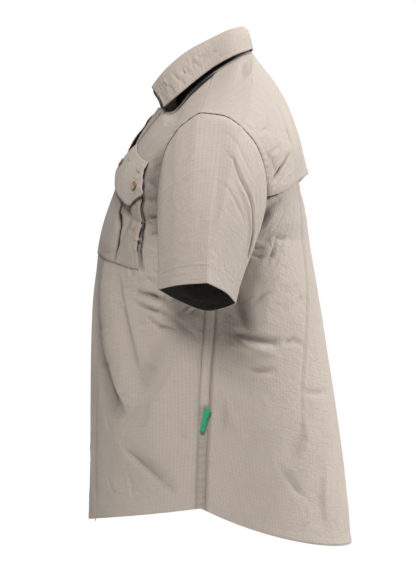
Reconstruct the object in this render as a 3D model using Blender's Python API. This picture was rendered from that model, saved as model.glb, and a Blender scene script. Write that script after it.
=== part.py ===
"""A short-sleeve outdoor shirt, filled out as it is worn, with nobody in it.

Metres, +Z up. The shirt faces -Y, so the wearer's left side is at +X. The origin
is between the shoulders at the base of the neck, where the wearer carries it.
Every cloth piece is a thin wall over a grid of points. Each grid is worked out
from a short table: a row of the table is one line across the piece.
"""

import math

import bmesh
import bpy
import numpy as np

# Driving sizes
CLOTH = 0.0014
SEAM_TRIM = 0.0003
LAID_GAP = 0.0003
HEM_EXTRA = 0.0009
OVERLAP = 0.016
UNDERLAP = 0.0046
PLACKET_WIDTH = 0.032
PLACKET_THICK = 0.0011
PLACKET_RECESS = 0.0075
POCKET_START = 0.062
POCKET_WIDTH = 0.152
POCKET_SWELL = 0.0045
PLEAT_RISE = 0.0018
# Columns: name, grid column from the front edge, share of the flap's depth upwards.
FLAP_BUTTONS = (("front", 1, 0.40), ("rear", 7, 0.27))
FLAP_THICK = 0.0016
FLAP_BEYOND = 0.004
FLAP_CLEAR = 0.0012
FLAP_STEPS = 5
POCKET_THICK = 0.0012
FLAP_FRONT = 0.054
FLAP_REAR = 0.043
FLAP_POINT = 0.078
FLAP_POINT_PLACE = 0.25
SIDE_SEAM_WIDTH = 0.013
LABEL_SIZE = (0.012, 0.034)
LABEL_THICK = 0.0012
LABEL_TOP = -0.4805
LABEL_LIFT = 0.0006
BUTTON_RADIUS = 0.0062
BUTTON_THICK = 0.0022
BUTTON_SIDES = 12
BUTTON_LIFT = 0.0009
BUTTON_HEIGHTS = (-0.128, -0.215, -0.302, -0.389, -0.476, -0.563)
SLEEVE_OFFSET = 0.0010
UNDERARM_LAP = 0.0034
UNDERARM_HEIGHTS = (0.130, 0.190)
STAND_INSET = 0.0032
STAND_DROP = 0.0010
LEAF_RISE = 0.0019

# Side seam of the left half, from the hem to the armpit.
SIDE_SEAM = (
    (0.2000, -0.010, -0.6205),
    (0.1990, -0.009, -0.5750),
    (0.1990, -0.006, -0.4950),
    (0.2020, -0.002, -0.4180),
    (0.2080, 0.003, -0.3500),
    (0.2120, 0.005, -0.3060),
    (0.2150, 0.006, -0.2750),
    (0.2165, 0.006, -0.2430),
)
ARMPIT = len(SIDE_SEAM) - 1

# Left armhole seam: from the armpit up the front, over the shoulder, down the back.
ARMHOLE = (
    SIDE_SEAM[ARMPIT],
    (0.2040, -0.0450, -0.2150),
    (0.2000, -0.0620, -0.1800),
    (0.2030, -0.0643, -0.1420),
    (0.2080, -0.0580, -0.1140),
    (0.2130, -0.0470, -0.0960),
    (0.2160, -0.0400, -0.0868),
    (0.2205, -0.0270, -0.0765),
    (0.2250, -0.0120, -0.0675),
    (0.2258, 0.0060, -0.0685),
    (0.2255, 0.0250, -0.0720),
    (0.2240, 0.0450, -0.0860),
    (0.2205, 0.0670, -0.1116),
    (0.2160, 0.0770, -0.1380),
    (0.2135, 0.0755, -0.1833),
    (0.2120, 0.0620, -0.2080),
    (0.2140, 0.0400, -0.2320),
)
CAPE_STATION = 14

# Neck seam of the left half, from the front corner to the centre back, with the
# top of the collar stand and the outer edge of the collar leaf at the same places.
# Columns: neck seam, stand top, leaf edge.
COLLAR = (
    ((0.026, -0.0715, -0.0430), (0.027, -0.0800, -0.0130), (0.080, -0.0650, -0.0465)),
    ((0.056, -0.0500, -0.0480), (0.049, -0.0565, 0.0130), (0.1000, -0.0430, -0.0300)),
    ((0.070, -0.0220, -0.0170), (0.063, -0.0280, 0.0355), (0.1000, -0.0165, -0.0085)),
    ((0.075, 0.0080, 0.0070), (0.066, 0.0030, 0.0520), (0.0945, 0.0100, 0.0120)),
    ((0.069, 0.0310, 0.0220), (0.0585, 0.0250, 0.0635), (0.0815, 0.0335, 0.0265)),
    ((0.040, 0.0565, 0.0370), (0.035, 0.0460, 0.0730), (0.0455, 0.0590, 0.0400)),
    ((0.0, 0.0650, 0.0420), (0.0, 0.0545, 0.0755), (0.0, 0.0670, 0.0465)),
)
NECK = tuple(row[0] for row in COLLAR)
NECK_SEAM_STATION = 3
CENTRE_BACK = len(NECK) - 1
COLLAR_CELLS = (2, 2, 2, 2, 2, 2)

# Left front, from the hem up. A row runs from the front edge to the side seam, and
# from the armpit row on to the armhole.
# Columns: front edge, plan angle there and at the other end, pull of each direction,
# and how much of the row's rise each end takes.
FRONT_ROWS = (
    ((-OVERLAP, -0.1795, -0.6590), -3, 92, 1.30, 1.10, 1.0, 1.0),
    ((-OVERLAP, -0.1785, -0.6000), -3, 92, 1.30, 1.10, 1.0, 1.0),
    ((-OVERLAP, -0.1760, -0.5000), -3, 92, 1.30, 1.10, 1.0, 1.0),
    ((-OVERLAP, -0.1745, -0.4000), -3, 92, 1.30, 1.10, 1.0, 1.0),
    ((-OVERLAP, -0.1715, -0.3100), -3, 92, 1.35, 1.10, 1.0, 1.0),
    ((-OVERLAP, -0.1640, -0.2500), -3, 92, 1.40, 1.15, 1.0, 1.0),
    ((-OVERLAP, -0.1545, -0.2050), -3, 92, 1.42, 1.15, 1.0, 1.0),
    ((-OVERLAP, -0.1460, -0.1800), -3, 90, 1.42, 1.10, 1.0, 1.0),
    ((-OVERLAP, -0.1335, -0.1500), -3, 82, 1.40, 0.95, 1.0, 1.0),
    ((-OVERLAP, -0.1180, -0.1180), -2, 72, 1.25, 0.85, 1.0, 1.0),
    ((-0.009, -0.1030, -0.0870), 3, 55, 1.10, 0.80, 1.0, 1.0),
    ((0.012, -0.0865, -0.0640), 6, 35, 1.00, 0.85, 1.0, 1.0),
    (NECK[0], 8, 20, 1.00, 0.95, 1.0, 1.0),
    (NECK[1], 6, 12, 1.00, 0.95, 1.0, 1.0),
    (NECK[2], 0, 4, 1.00, 1.00, 1.0, 1.0),
    (NECK[NECK_SEAM_STATION], -4, -8, 1.00, 1.00, 1.0, 1.0),
)
FRONT_CELLS = (2, 3, 3, 3, 2, 2, 1, 1, 1, 1, 1, 1, 1, 1, 1)
FRONT_CORNER_ROW = 12
POCKET_ROWS = (5, 10)
POCKET_CELLS = 8
POCKET_COLUMNS = (3, 3 + POCKET_CELLS)
PLEAT_COLUMNS = slice(3, 6)
FLAP_COLUMNS = (3, 3 + POCKET_CELLS + 1)
PLACKET_ROWS = (0, 12)

# Left half of the yoke with its cape, from the cape's hem over the shoulder to the
# front. A row runs from the centre back or neck seam to the armhole. Same columns.
YOKE_ROWS = (
    ((0.0, 0.1480, -0.1400), 0, -52, 1.10, 0.85, 0.2, 1.2),
    ((0.0, 0.1355, -0.0840), 0, -50, 1.10, 0.90, 0.3, 1.2),
    ((0.0, 0.1135, -0.0260), 0, -38, 1.05, 0.95, 0.4, 1.1),
    (NECK[6], 0, -22, 1.00, 0.95, 0.35, 1.0),
    (NECK[5], 4, -14, 1.00, 1.00, 1.0, 1.0),
    (NECK[4], 0, -10, 1.00, 1.00, 1.0, 1.0),
    (NECK[NECK_SEAM_STATION], -4, -8, 1.00, 1.00, 1.0, 1.0),
)
YOKE_CELLS = (3, 2, 2, 1, 1, 1)
YOKE_CORNER_ROW = 3
YOKE_COLUMNS = 12

# Left half of the back, from the hem up to its top edge under the cape.
BACK_ROWS = (
    ((0.0, 0.2135, -0.6905), 0, -88, 1.25, 1.10, 0.0, 2.4),
    ((0.0, 0.2085, -0.6300), 0, -88, 1.25, 1.10, 0.0, 2.4),
    ((0.0, 0.1945, -0.5150), 0, -88, 1.25, 1.10, 0.0, 2.4),
    ((0.0, 0.1800, -0.4200), 0, -88, 1.25, 1.10, 0.0, 2.4),
    ((0.0, 0.1680, -0.3420), 0, -88, 1.25, 1.10, 0.0, 2.4),
    ((0.0, 0.1620, -0.3060), 0, -88, 1.25, 1.10, 0.0, 2.4),
    ((0.0, 0.1565, -0.2750), 0, -88, 1.25, 1.05, 0.0, 2.4),
    ((0.0, 0.1510, -0.2400), 0, -86, 1.25, 1.00, 0.0, 2.4),
    ((0.0, 0.1475, -0.2150), 0, -76, 1.20, 0.95, 0.0, 2.4),
    ((0.0, 0.1435, -0.1900), 0, -64, 1.15, 0.90, 0.0, 2.4),
    ((0.0, 0.1400, -0.1650), 0, -56, 1.10, 0.85, 0.0, 2.4),
    ((0.0, 0.1325, -0.1220), 0, -52, 1.10, 0.85, 0.0, 2.4),
)
BACK_CELLS = (2, 3, 3, 2, 2, 1, 1, 1, 1, 1, 2)
BACK_COLUMNS = 12
CAPE_CLEAR = 0.0030

# Left sleeve's hem, round from the underarm: where it passes and where it is creased.
SLEEVE_HEM = (
    (0.2270, -0.0030, -0.3420),
    (0.2530, -0.0420, -0.3270),
    (0.2850, -0.0670, -0.3125),
    (0.3255, -0.0400, -0.3065),
    (0.3600, -0.0010, -0.3035),
    (0.3315, 0.0230, -0.3160),
    (0.2960, 0.0370, -0.3305),
    (0.2600, 0.0225, -0.3375),
)
SLEEVE_HEM_CORNERS = (2, 4, 6)
# Armhole stations that the eight hem points answer to.
SLEEVE_MATCH = (0.0, 1.4, 2.8, 6.2, 9.6, 11.8, 13.7, 15.4, 17.0)
SLEEVE_AROUND = (4, 4, 5, 5, 4, 4, 4, 4)
SLEEVE_STOPS = (1.0, 0.92, 0.82, 0.70, 0.58, 0.46, 0.34, 0.22, 0.11, 0.0)
SLEEVE_GIRTH = 0.44
SLEEVE_LENGTH = 0.25
# Direction in which the sleeve leaves the armhole at its top, front, bottom and back.
SLEEVE_LEAVE = {
    "top": (0.150, 0.000, -0.085),
    "front": (0.110, -0.030, -0.120),
    "bottom": (0.040, -0.004, -0.080),
    "back": (0.120, 0.020, -0.120),
}
SLEEVE_FALL = {
    "top": (0.060, 0.000, -0.190),
    "front": (0.050, -0.006, -0.170),
    "bottom": (-0.010, -0.003, -0.095),
    "back": (0.050, -0.030, -0.150),
}

# Folds on a panel's flat cloth. Columns: metres across from the front or centre edge
# and height, at the start and at the end, then half width and depth (inwards below 0).
FRONT_FOLDS = {
    "left": (
        (0.124, -0.300, 0.132, -0.360, 0.020, -0.008),
        (0.132, -0.360, 0.155, -0.431, 0.020, -0.010),
        (0.155, -0.431, 0.195, -0.505, 0.018, -0.006),
        (0.226, -0.120, 0.231, -0.205, 0.013, -0.008),
        (0.178, -0.542, 0.277, -0.604, 0.014, -0.005),
        (0.216, -0.325, 0.260, -0.345, 0.012, -0.004),
    ),
    "right": (
        (0.112, -0.290, 0.125, -0.410, 0.022, -0.009),
        (0.125, -0.420, 0.170, -0.490, 0.018, -0.007),
        (0.226, -0.120, 0.230, -0.200, 0.013, -0.007),
        (0.160, -0.530, 0.260, -0.590, 0.015, -0.005),
        (0.085, -0.610, 0.090, -0.660, 0.030, 0.006),
    ),
}
BACK_FOLDS = (
    (0.225, -0.200, 0.195, -0.300, 0.018, -0.009),
    (0.259, -0.374, 0.193, -0.387, 0.012, -0.005),
    (0.285, -0.440, 0.250, -0.519, 0.020, -0.006),
    (0.092, -0.190, 0.108, -0.330, 0.010, 0.004),
    (0.108, -0.330, 0.150, -0.510, 0.012, 0.004),
)
SLEEVE_FOLDS = (
    (0.115, 0.130, 0.165, 0.118, 0.012, -0.0030),
    (0.165, 0.118, 0.210, 0.105, 0.012, -0.0030),
    (0.232, 0.060, 0.320, 0.150, 0.013, -0.0060),
    (0.385, 0.060, 0.430, 0.150, 0.016, -0.0050),
    (0.030, 0.060, 0.080, 0.150, 0.016, -0.0050),
)

MIRROR = np.array([-1.0, 1.0, 1.0])

COLOURS = {
    "cloth": ((0.50, 0.44, 0.38, 1.0), 0.85),
    "button": ((0.45, 0.30, 0.17, 1.0), 0.35),
    "label": ((0.02, 0.36, 0.16, 1.0), 0.60),
}


def read_line(points, at, closed=False, corners=(), even=False):
    """Points of a smooth curve through the given ones, at station numbers in at."""
    points = np.array(points, float)
    count = len(points)

    def segment(i):
        return points[(i + 1) % count] - points[i % count]

    def step(i):
        return 1.0 if even else np.linalg.norm(segment(i))

    def tangent(i, leaving):
        joined = closed or 0 < i < count - 1
        if joined and i % count not in corners:
            before, after = step(i - 1), step(i)
            return (segment(i - 1) * after / before + segment(i) * before / after) / (before + after)
        own = i if (leaving or (i == 0 and not closed)) and (closed or i < count - 1) else i - 1
        return segment(own) / step(own)

    found = []
    for value in at:
        i = int(math.floor(value + 1e-9))
        if not closed:
            i = min(max(i, 0), count - 2)
        t, h = value - i, step(i)
        found.append(
            points[i % count] * (2 * t**3 - 3 * t**2 + 1)
            + tangent(i, True) * h * (t**3 - 2 * t**2 + t)
            + points[(i + 1) % count] * (3 * t**2 - 2 * t**3)
            + tangent(i + 1, False) * h * (t**3 - t**2)
        )
    return np.array(found)


def stops(cells, first=0):
    """Row numbers of the grid lines, with each gap of the table cut into its cells."""
    found = [float(first)]
    for row, count in enumerate(cells, first):
        found += [row + (k + 1) / count for k in range(count)]
    return found


def smooth_step(x, low, high):
    t = np.clip((x - low) / (high - low), 0, 1)
    return t * t * (3 - 2 * t)


def unit(vectors):
    return vectors / np.linalg.norm(vectors, axis=-1, keepdims=True)


def row_curve(start, end, shape, samples=60):
    """Points along one row: a cubic between its ends that holds both directions."""
    turn_start, turn_end, pull_start, pull_end, lift_start, lift_end = shape
    chord = end - start
    flat = math.hypot(chord[0], chord[1])
    a, b = math.radians(turn_start), math.radians(turn_end)
    go = np.array([math.cos(a) * flat * pull_start, math.sin(a) * flat * pull_start,
                   chord[2] * lift_start])
    stop = np.array([math.cos(b) * flat * pull_end, math.sin(b) * flat * pull_end,
                     chord[2] * lift_end])
    t = np.linspace(0, 1, samples)[:, None]
    return (
        start * (2 * t**3 - 3 * t**2 + 1)
        + go * (t**3 - 2 * t**2 + t)
        + end * (3 * t**2 - 2 * t**3)
        + stop * (t**3 - t**2)
    )


def at_distances(curve, distances):
    """Points of a sampled curve at the given distances along it."""
    steps = np.linalg.norm(np.diff(curve, axis=0), axis=1)
    along = np.concatenate([[0], np.cumsum(steps)])
    return np.stack([np.interp(distances, along, curve[:, k]) for k in range(3)], 1)


def length_of(curve):
    return float(np.linalg.norm(np.diff(curve, axis=0), axis=1).sum())


def neck_line(stations, column=0):
    """Points of one of the collar's lines, smooth across the centre back."""
    points = [np.array(row[column]) for row in COLLAR]
    points.append(points[-2] * MIRROR)
    return read_line(points, stations)


def panel_grid(rows, ends, cells, columns_of, corner_row=None, neck_station=None):
    """Middle surface of a panel and each point's distance across it.

    Above the corner row the panel's near edge is the neck seam, at the station that
    neck_station gives for the row.
    """
    at = stops(cells)
    corners = () if corner_row is None else (corner_row,)
    starts = read_line([row[0] for row in rows], at, corners=corners)
    for i, value in enumerate(at):
        if corner_row is not None and value > corner_row:
            starts[i] = neck_line([neck_station(value)])[0]
    shapes = read_line([row[1:] for row in rows], at, even=True)
    lines, distances = [], []
    for start, end, shape in zip(starts, ends(at), shapes):
        curve = row_curve(start, end, shape)
        columns = columns_of(length_of(curve))
        lines.append(at_distances(curve, columns))
        distances.append(columns)
    return np.array(lines), np.array(distances)


def fold_depth(across, height, folds):
    """How far the folds move each point of the flat cloth."""
    moved = np.zeros_like(across)
    for a0, z0, a1, z1, width, depth in folds:
        da, dz = a1 - a0, z1 - z0
        t = ((across - a0) * da + (height - z0) * dz) / (da * da + dz * dz)
        t = np.clip(t, 0, 1)
        away = np.hypot(across - a0 - t * da, height - z0 - t * dz)
        moved += depth * np.exp(-((away / width) ** 2))
    return moved


def normals_of(grid, closed=False):
    """Outward unit normals of a grid whose rows go up and columns anticlockwise."""
    if closed:
        along = np.roll(grid, -1, 1) - np.roll(grid, 1, 1)
    else:
        along = np.gradient(grid, axis=1)
    return unit(np.cross(along, np.gradient(grid, axis=0)))


def mirrored(grid):
    """The same piece on the right side, with its columns still anticlockwise."""
    return grid[:, ::-1] * MIRROR


def from_left_to_right(half):
    """Both halves of a grid whose first column is the centre line or the neck."""
    return np.concatenate([half[:, ::-1], half * MIRROR], axis=1)


def material(slot):
    found = bpy.data.materials.get(slot)
    if found:
        return found
    colour, roughness = COLOURS[slot]
    found = bpy.data.materials.new(slot)
    found.use_nodes = True
    shader = found.node_tree.nodes["Principled BSDF"]
    shader.inputs["Base Color"].default_value = colour
    shader.inputs["Roughness"].default_value = roughness
    return found


def add_object(name, points, faces, slot):
    mesh = bpy.data.meshes.new(name)
    mesh.from_pydata([tuple(p) for p in points], [], faces)
    used = bmesh.new()
    used.from_mesh(mesh)
    bmesh.ops.delete(used, geom=[v for v in used.verts if not v.link_faces], context="VERTS")
    used.to_mesh(mesh)
    used.free()
    mesh.materials.append(material(slot))
    mesh.shade_smooth()
    mesh.set_sharp_from_angle(angle=math.radians(50))
    made = bpy.data.objects.new(name, mesh)
    bpy.context.scene.collection.objects.link(made)
    return made


def wall(name, inner, outer, slot="cloth", closed=False, joined_rows=0):
    """One closed solid between two grids of the same size.

    With joined_rows the two middle columns are one up to that many rows, and from
    there on they part round an opening.
    """
    rows, columns = inner.shape[:2]
    centre = columns // 2
    points = np.concatenate([outer.reshape(-1, 3), inner.reshape(-1, 3)])
    under = rows * columns

    def at(r, c):
        if joined_rows > r and c == centre:
            c = centre - 1
        return r * columns + c % columns

    quads = []
    for r in range(rows - 1):
        for c in range(columns if closed else columns - 1):
            if not (joined_rows and c == centre - 1):
                quads.append((at(r, c), at(r, c + 1), at(r + 1, c + 1), at(r + 1, c)))
    edges = {(quad[k], quad[(k + 1) % 4]) for quad in quads for k in range(4)}
    rim = sorted((a, b) for a, b in edges if (b, a) not in edges)
    faces = list(quads)
    faces += [tuple(under + k for k in reversed(quad)) for quad in quads]
    faces += [(b, a, under + a, under + b) for a, b in rim]
    return add_object(name, points, faces, slot)


def cloth_wall(name, grid, closed=False, extra=0.0):
    """A cloth piece about its middle surface. Gives its outer points and normals."""
    normals = normals_of(grid, closed)
    outer = grid + normals * (CLOTH / 2 + extra)
    wall(name, grid - normals * CLOTH / 2, outer, closed=closed)
    return outer, normals


def two_sided_wall(name, half, joined_rows, extra):
    """A cloth piece worked out as a left half, parted at the top by an opening."""
    normals = -normals_of(half)
    normals[:joined_rows, 0, 0] = 0.0
    normals = from_left_to_right(unit(normals))
    grid = from_left_to_right(half)
    outer = grid + normals * (CLOTH / 2 + extra)
    wall(name, grid - normals * CLOTH / 2, outer, joined_rows=joined_rows)
    return outer, normals


def laid(name, outer, normals, rise, thick, slot="cloth"):
    """A piece that lies on a panel, made from the panel's points moved out."""
    inner = outer + normals * (LAID_GAP + rise)
    wall(name, inner, inner + normals * thick, slot)
    return inner + normals * thick


def front_columns(length):
    """Distances of the grid's columns from the front edge, on a row of this length."""
    pocket_end = POCKET_START + POCKET_WIDTH
    squeeze = min(1.0, 0.86 * length / pocket_end)
    start = POCKET_START * (0.4 + 0.6 * squeeze)
    end = pocket_end * squeeze
    placket = [SEAM_TRIM, PLACKET_WIDTH / 2, PLACKET_WIDTH]
    pocket = list(np.linspace(start, end, POCKET_CELLS + 1))
    seam = length - min(SIDE_SEAM_WIDTH, 0.5 * (length - end))
    rest = list(np.linspace(end, seam, 3))[1:]
    return np.array(placket + pocket + rest + [length - SEAM_TRIM])



def side_and_armhole(first_station, direction):
    """The far ends of a body panel's rows: the side seam, then the armhole."""

    def ends(at):
        found = []
        for value in at:
            if value <= ARMPIT:
                found.append(read_line(SIDE_SEAM, [value])[0])
            else:
                station = first_station + direction * (value - ARMPIT)
                found.append(read_line(ARMHOLE, [station], closed=True, corners=(0,))[0])
        return np.array(found)

    return ends


def build_front(side):
    grid, across = panel_grid(FRONT_ROWS, side_and_armhole(0, 1), FRONT_CELLS,
                              front_columns, FRONT_CORNER_ROW,
                              lambda value: value - FRONT_CORNER_ROW)
    height = grid[:, :, 2]
    moved = fold_depth(across, height, FRONT_FOLDS[side])
    moved *= smooth_step(across[:, -1:] - across, 0.0, 0.03)
    moved *= smooth_step(across, PLACKET_WIDTH, PLACKET_WIDTH + 0.02)
    moved *= smooth_step(-height, 0.09, 0.13)
    stiff = 1 - smooth_step(across, PLACKET_WIDTH * 0.7, PLACKET_WIDTH * 2.1)
    moved -= PLACKET_RECESS * stiff * smooth_step(-height, 0.10, 0.15)
    grid = grid + normals_of(grid) * moved[:, :, None]
    if side == "right":
        near_edge = 1 - smooth_step(across, PLACKET_WIDTH, 0.075)
        parted = smooth_step(height, -0.070, -0.045)
        grid = grid - normals_of(grid) * (UNDERLAP * near_edge * (1 - parted))[:, :, None]
    extra = np.zeros(across.shape)
    extra[:1] = HEM_EXTRA
    extra[:, -2:] = HEM_EXTRA / 2
    if side == "right":
        grid = mirrored(grid)
        extra = extra[:, ::-1]
    return cloth_wall(f"front_{side}", grid, extra=extra[:, :, None])


def block(outer, normals, rows, columns, side):
    """The stretch of a front panel between two table rows and two grid columns."""
    low, high = (stops(FRONT_CELLS).index(float(row)) for row in rows)
    first, last = columns
    if side == "right":
        width = outer.shape[1] - 1
        first, last = width - last, width - first
    cut = (slice(low, high + 1), slice(first, last + 1))
    return outer[cut], normals[cut]


def build_pocket(side, outer, normals):
    points, away = block(outer, normals, POCKET_ROWS, POCKET_COLUMNS, side)
    rows, columns = points.shape[:2]
    down = np.sin(np.linspace(0, math.pi, rows)) ** 0.5
    over = np.sin(np.linspace(0, math.pi, columns)) ** 0.5
    swell = POCKET_SWELL * down[:, None] * over[None, :]
    pleat = np.zeros((rows, columns))
    pleat[:, PLEAT_COLUMNS] = PLEAT_RISE
    body_rows = slice(0, rows - 1)
    laid(f"pocket_{side}", points[body_rows], away[body_rows],
         swell[body_rows, :, None], POCKET_THICK + pleat[body_rows, :, None])
    build_flap(side, *block(outer, normals, POCKET_ROWS, FLAP_COLUMNS, side))


def build_flap(side, points, away):
    """The flap hangs from the pocket's top edge to a pointed lower edge."""
    if side == "right":
        points, away = points[:, ::-1], away[:, ::-1]
    points, away = points[::-1].copy(), away[::-1].copy()
    past = points[:, -1] - points[:, -2]
    points[:, -1] = points[:, -2] + unit(past) * FLAP_BEYOND
    away[:, -1] = away[:, -2]
    drop = np.linalg.norm(np.diff(points, axis=0), axis=2).mean(axis=1)
    drop = np.concatenate([[0], np.cumsum(drop)])
    columns = points.shape[1]
    place = np.linspace(-1, 1, columns)
    from_point = place - FLAP_POINT_PLACE
    corner = np.where(from_point < 0, FLAP_FRONT, FLAP_REAR)
    share = np.abs(from_point) / np.where(from_point < 0, 1 + FLAP_POINT_PLACE, 1 - FLAP_POINT_PLACE)
    depth = FLAP_POINT - (FLAP_POINT - corner) * share
    steps = np.linspace(0.0, 1.0, FLAP_STEPS)
    grid = np.zeros((FLAP_STEPS, columns, 3))
    normals = np.zeros_like(grid)
    for c in range(columns):
        for k in range(3):
            grid[:, c, k] = np.interp(steps * depth[c], drop, points[:, c, k])
            normals[:, c, k] = np.interp(steps * depth[c], drop, away[:, c, k])
    normals = unit(normals)
    over_pocket = POCKET_SWELL + PLEAT_RISE + POCKET_THICK
    rise = over_pocket * (1 - (1 - steps) ** 2) + FLAP_CLEAR
    grid, normals, rise = grid[::-1], normals[::-1], rise[::-1, None, None]
    if side == "right":
        grid, normals = grid[:, ::-1], normals[:, ::-1]
    top = laid(f"flap_{side}", grid, normals, rise, FLAP_THICK)
    if side == "right":
        top, normals = top[:, ::-1], normals[:, ::-1]
    for name, column, height in FLAP_BUTTONS:
        at = height * (FLAP_STEPS - 1)
        place, facing = (
            [np.interp(at, np.arange(FLAP_STEPS), table[:, column, k]) for k in range(3)]
            for table in (top, normals)
        )
        button(f"flap_{side}_button_{name}", place, facing)


def button(name, place, normal):
    """A turned disc with a raised rim, its axis along the cloth's normal."""
    profile = (
        (0.0, 0.0),
        (BUTTON_RADIUS * 0.86, 0.0),
        (BUTTON_RADIUS, BUTTON_THICK * 0.45),
        (BUTTON_RADIUS * 0.90, BUTTON_THICK),
        (BUTTON_RADIUS * 0.62, BUTTON_THICK * 0.72),
        (0.0, BUTTON_THICK * 0.66),
    )
    away = unit(np.array(normal))
    centre = np.array(place) + away * BUTTON_LIFT
    side = unit(np.cross(away, (0.0, 0.0, 1.0)))
    up = np.cross(side, away)
    points = [centre]
    for radius, height in profile[1:-1]:
        for k in range(BUTTON_SIDES):
            turn = 2 * math.pi * k / BUTTON_SIDES
            around = side * math.cos(turn) + up * math.sin(turn)
            points.append(centre + away * height + around * radius)
    points.append(centre + away * profile[-1][1])
    top = len(points) - 1
    rings = len(profile) - 2
    faces = []
    for k in range(BUTTON_SIDES):
        after = (k + 1) % BUTTON_SIDES
        faces.append((0, 1 + k, 1 + after))
        for ring in range(rings - 1):
            low = 1 + ring * BUTTON_SIDES
            high = low + BUTTON_SIDES
            faces.append((low + k, high + k, high + after, low + after))
        last = 1 + (rings - 1) * BUTTON_SIDES
        faces.append((last + k, top, last + after))
    add_object(name, points, faces, "button")


def build_placket(outer, normals):
    points, away = block(outer, normals, PLACKET_ROWS, (0, 2), "left")
    top = laid("placket", points, away, 0.0, PLACKET_THICK)
    middle, facing = top[:, 1], away[:, 1]
    for number, height in enumerate(BUTTON_HEIGHTS):
        place = [np.interp(height, middle[:, 2], middle[:, k]) for k in range(3)]
        normal = [np.interp(height, middle[:, 2], facing[:, k]) for k in range(3)]
        button(f"front_button_{number + 1}", place, normal)


def even_columns(count):
    def columns_of(length):
        return np.linspace(0, length - SEAM_TRIM, count)

    return columns_of


def build_yoke():
    def ends(at):
        stations = [CAPE_STATION - value for value in at]
        return read_line(ARMHOLE, stations, closed=True, corners=(0,))

    half, _ = panel_grid(YOKE_ROWS, ends, YOKE_CELLS, even_columns(YOKE_COLUMNS),
                         YOKE_CORNER_ROW, lambda value: CENTRE_BACK - value + YOKE_CORNER_ROW)
    half[-1] -= unit(half[-1] - half[-2]) * 2 * SEAM_TRIM
    neck_row = stops(YOKE_CELLS).index(float(YOKE_CORNER_ROW))
    extra = np.zeros((len(half), 1, 1))
    extra[0] = HEM_EXTRA
    two_sided_wall("yoke", half, neck_row + 1, extra)


def build_back():
    half, across = panel_grid(BACK_ROWS, side_and_armhole(len(ARMHOLE), -1), BACK_CELLS,
                              even_columns(BACK_COLUMNS))
    height = half[:, :, 2]
    moved = fold_depth(across, height, BACK_FOLDS)
    moved *= smooth_step(across[:, -1:] - across, 0.0, 0.03)
    moved *= smooth_step(-height, 0.17, 0.22)
    under_cape = smooth_step(np.array(stops(BACK_CELLS)), ARMPIT + 2, ARMPIT + 3)
    moved -= CAPE_CLEAR * under_cape[:, None]
    half = half - normals_of(half) * moved[:, :, None]
    extra = np.zeros((len(half), 1, 1))
    extra[0] = HEM_EXTRA
    outer, normals = two_sided_wall("back", half, len(half), extra)
    build_label(outer, normals)


def build_label(outer, normals):
    """A folded tab held in the left side seam, lying on the back."""
    heights = np.linspace(LABEL_TOP - LABEL_SIZE[1], LABEL_TOP, 4)
    cell = np.linalg.norm(outer[0, 1] - outer[0, 0])
    shares = np.linspace(0.04, LABEL_SIZE[0] / cell, 3)
    rows = len(outer)
    points = np.zeros((len(heights), len(shares), 3))
    away = np.zeros_like(points)
    for j, share in enumerate(shares):
        line = outer[:, 0] * (1 - share) + outer[:, 1] * share
        facing = normals[:, 0] * (1 - share) + normals[:, 1] * share
        at = np.interp(heights, line[:, 2], np.arange(rows))
        for k in range(3):
            points[:, j, k] = np.interp(at, np.arange(rows), line[:, k])
            away[:, j, k] = np.interp(at, np.arange(rows), facing[:, k])
    laid("side_label", points, unit(away), LABEL_LIFT, LABEL_THICK, slot="label")


def build_sleeves():
    hem_at = np.array(stops(SLEEVE_AROUND))
    hem_at = hem_at[:-1]
    stations = np.interp(hem_at, np.arange(len(SLEEVE_MATCH)), SLEEVE_MATCH)
    start = read_line(ARMHOLE, stations, closed=True, corners=(0,))
    hem = read_line(SLEEVE_HEM, hem_at, closed=True, corners=SLEEVE_HEM_CORNERS)
    leave, fall = (
        read_line([table[k] for k in ("bottom", "front", "top", "back")], hem_at / 2,
                  closed=True, even=True)
        for table in (SLEEVE_LEAVE, SLEEVE_FALL)
    )
    lapped = smooth_step(-start[:, 2], *UNDERARM_HEIGHTS)
    start = start + unit(leave) * SLEEVE_OFFSET
    outward = unit(start * np.array([1.0, 2.0, 0.0]))
    start += outward * UNDERARM_LAP * lapped[:, None]
    rows = SLEEVE_STOPS
    t = np.array(rows)[:, None, None]
    grid = (
        start * (2 * t**3 - 3 * t**2 + 1)
        + leave * (t**3 - 2 * t**2 + t)
        + hem * (3 * t**2 - 2 * t**3)
        + fall * (t**3 - t**2)
    )
    across = np.broadcast_to(hem_at / 8 * SLEEVE_GIRTH, grid.shape[:2])
    down = np.broadcast_to(t[:, :, 0] * SLEEVE_LENGTH, grid.shape[:2])
    moved = fold_depth(across, down, SLEEVE_FOLDS)
    grid = grid + normals_of(grid, closed=True) * moved[:, :, None]
    extra = np.zeros((len(rows), 1, 1))
    extra[:2] = HEM_EXTRA
    cloth_wall("sleeve_left", grid, closed=True, extra=extra)
    cloth_wall("sleeve_right", mirrored(grid), closed=True, extra=extra)


def round_the_neck(half):
    """A left half that ends at the centre back, made whole from left front to right."""
    return np.concatenate([half, (half * MIRROR)[:, ::-1][:, 1:]], axis=1)


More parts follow.
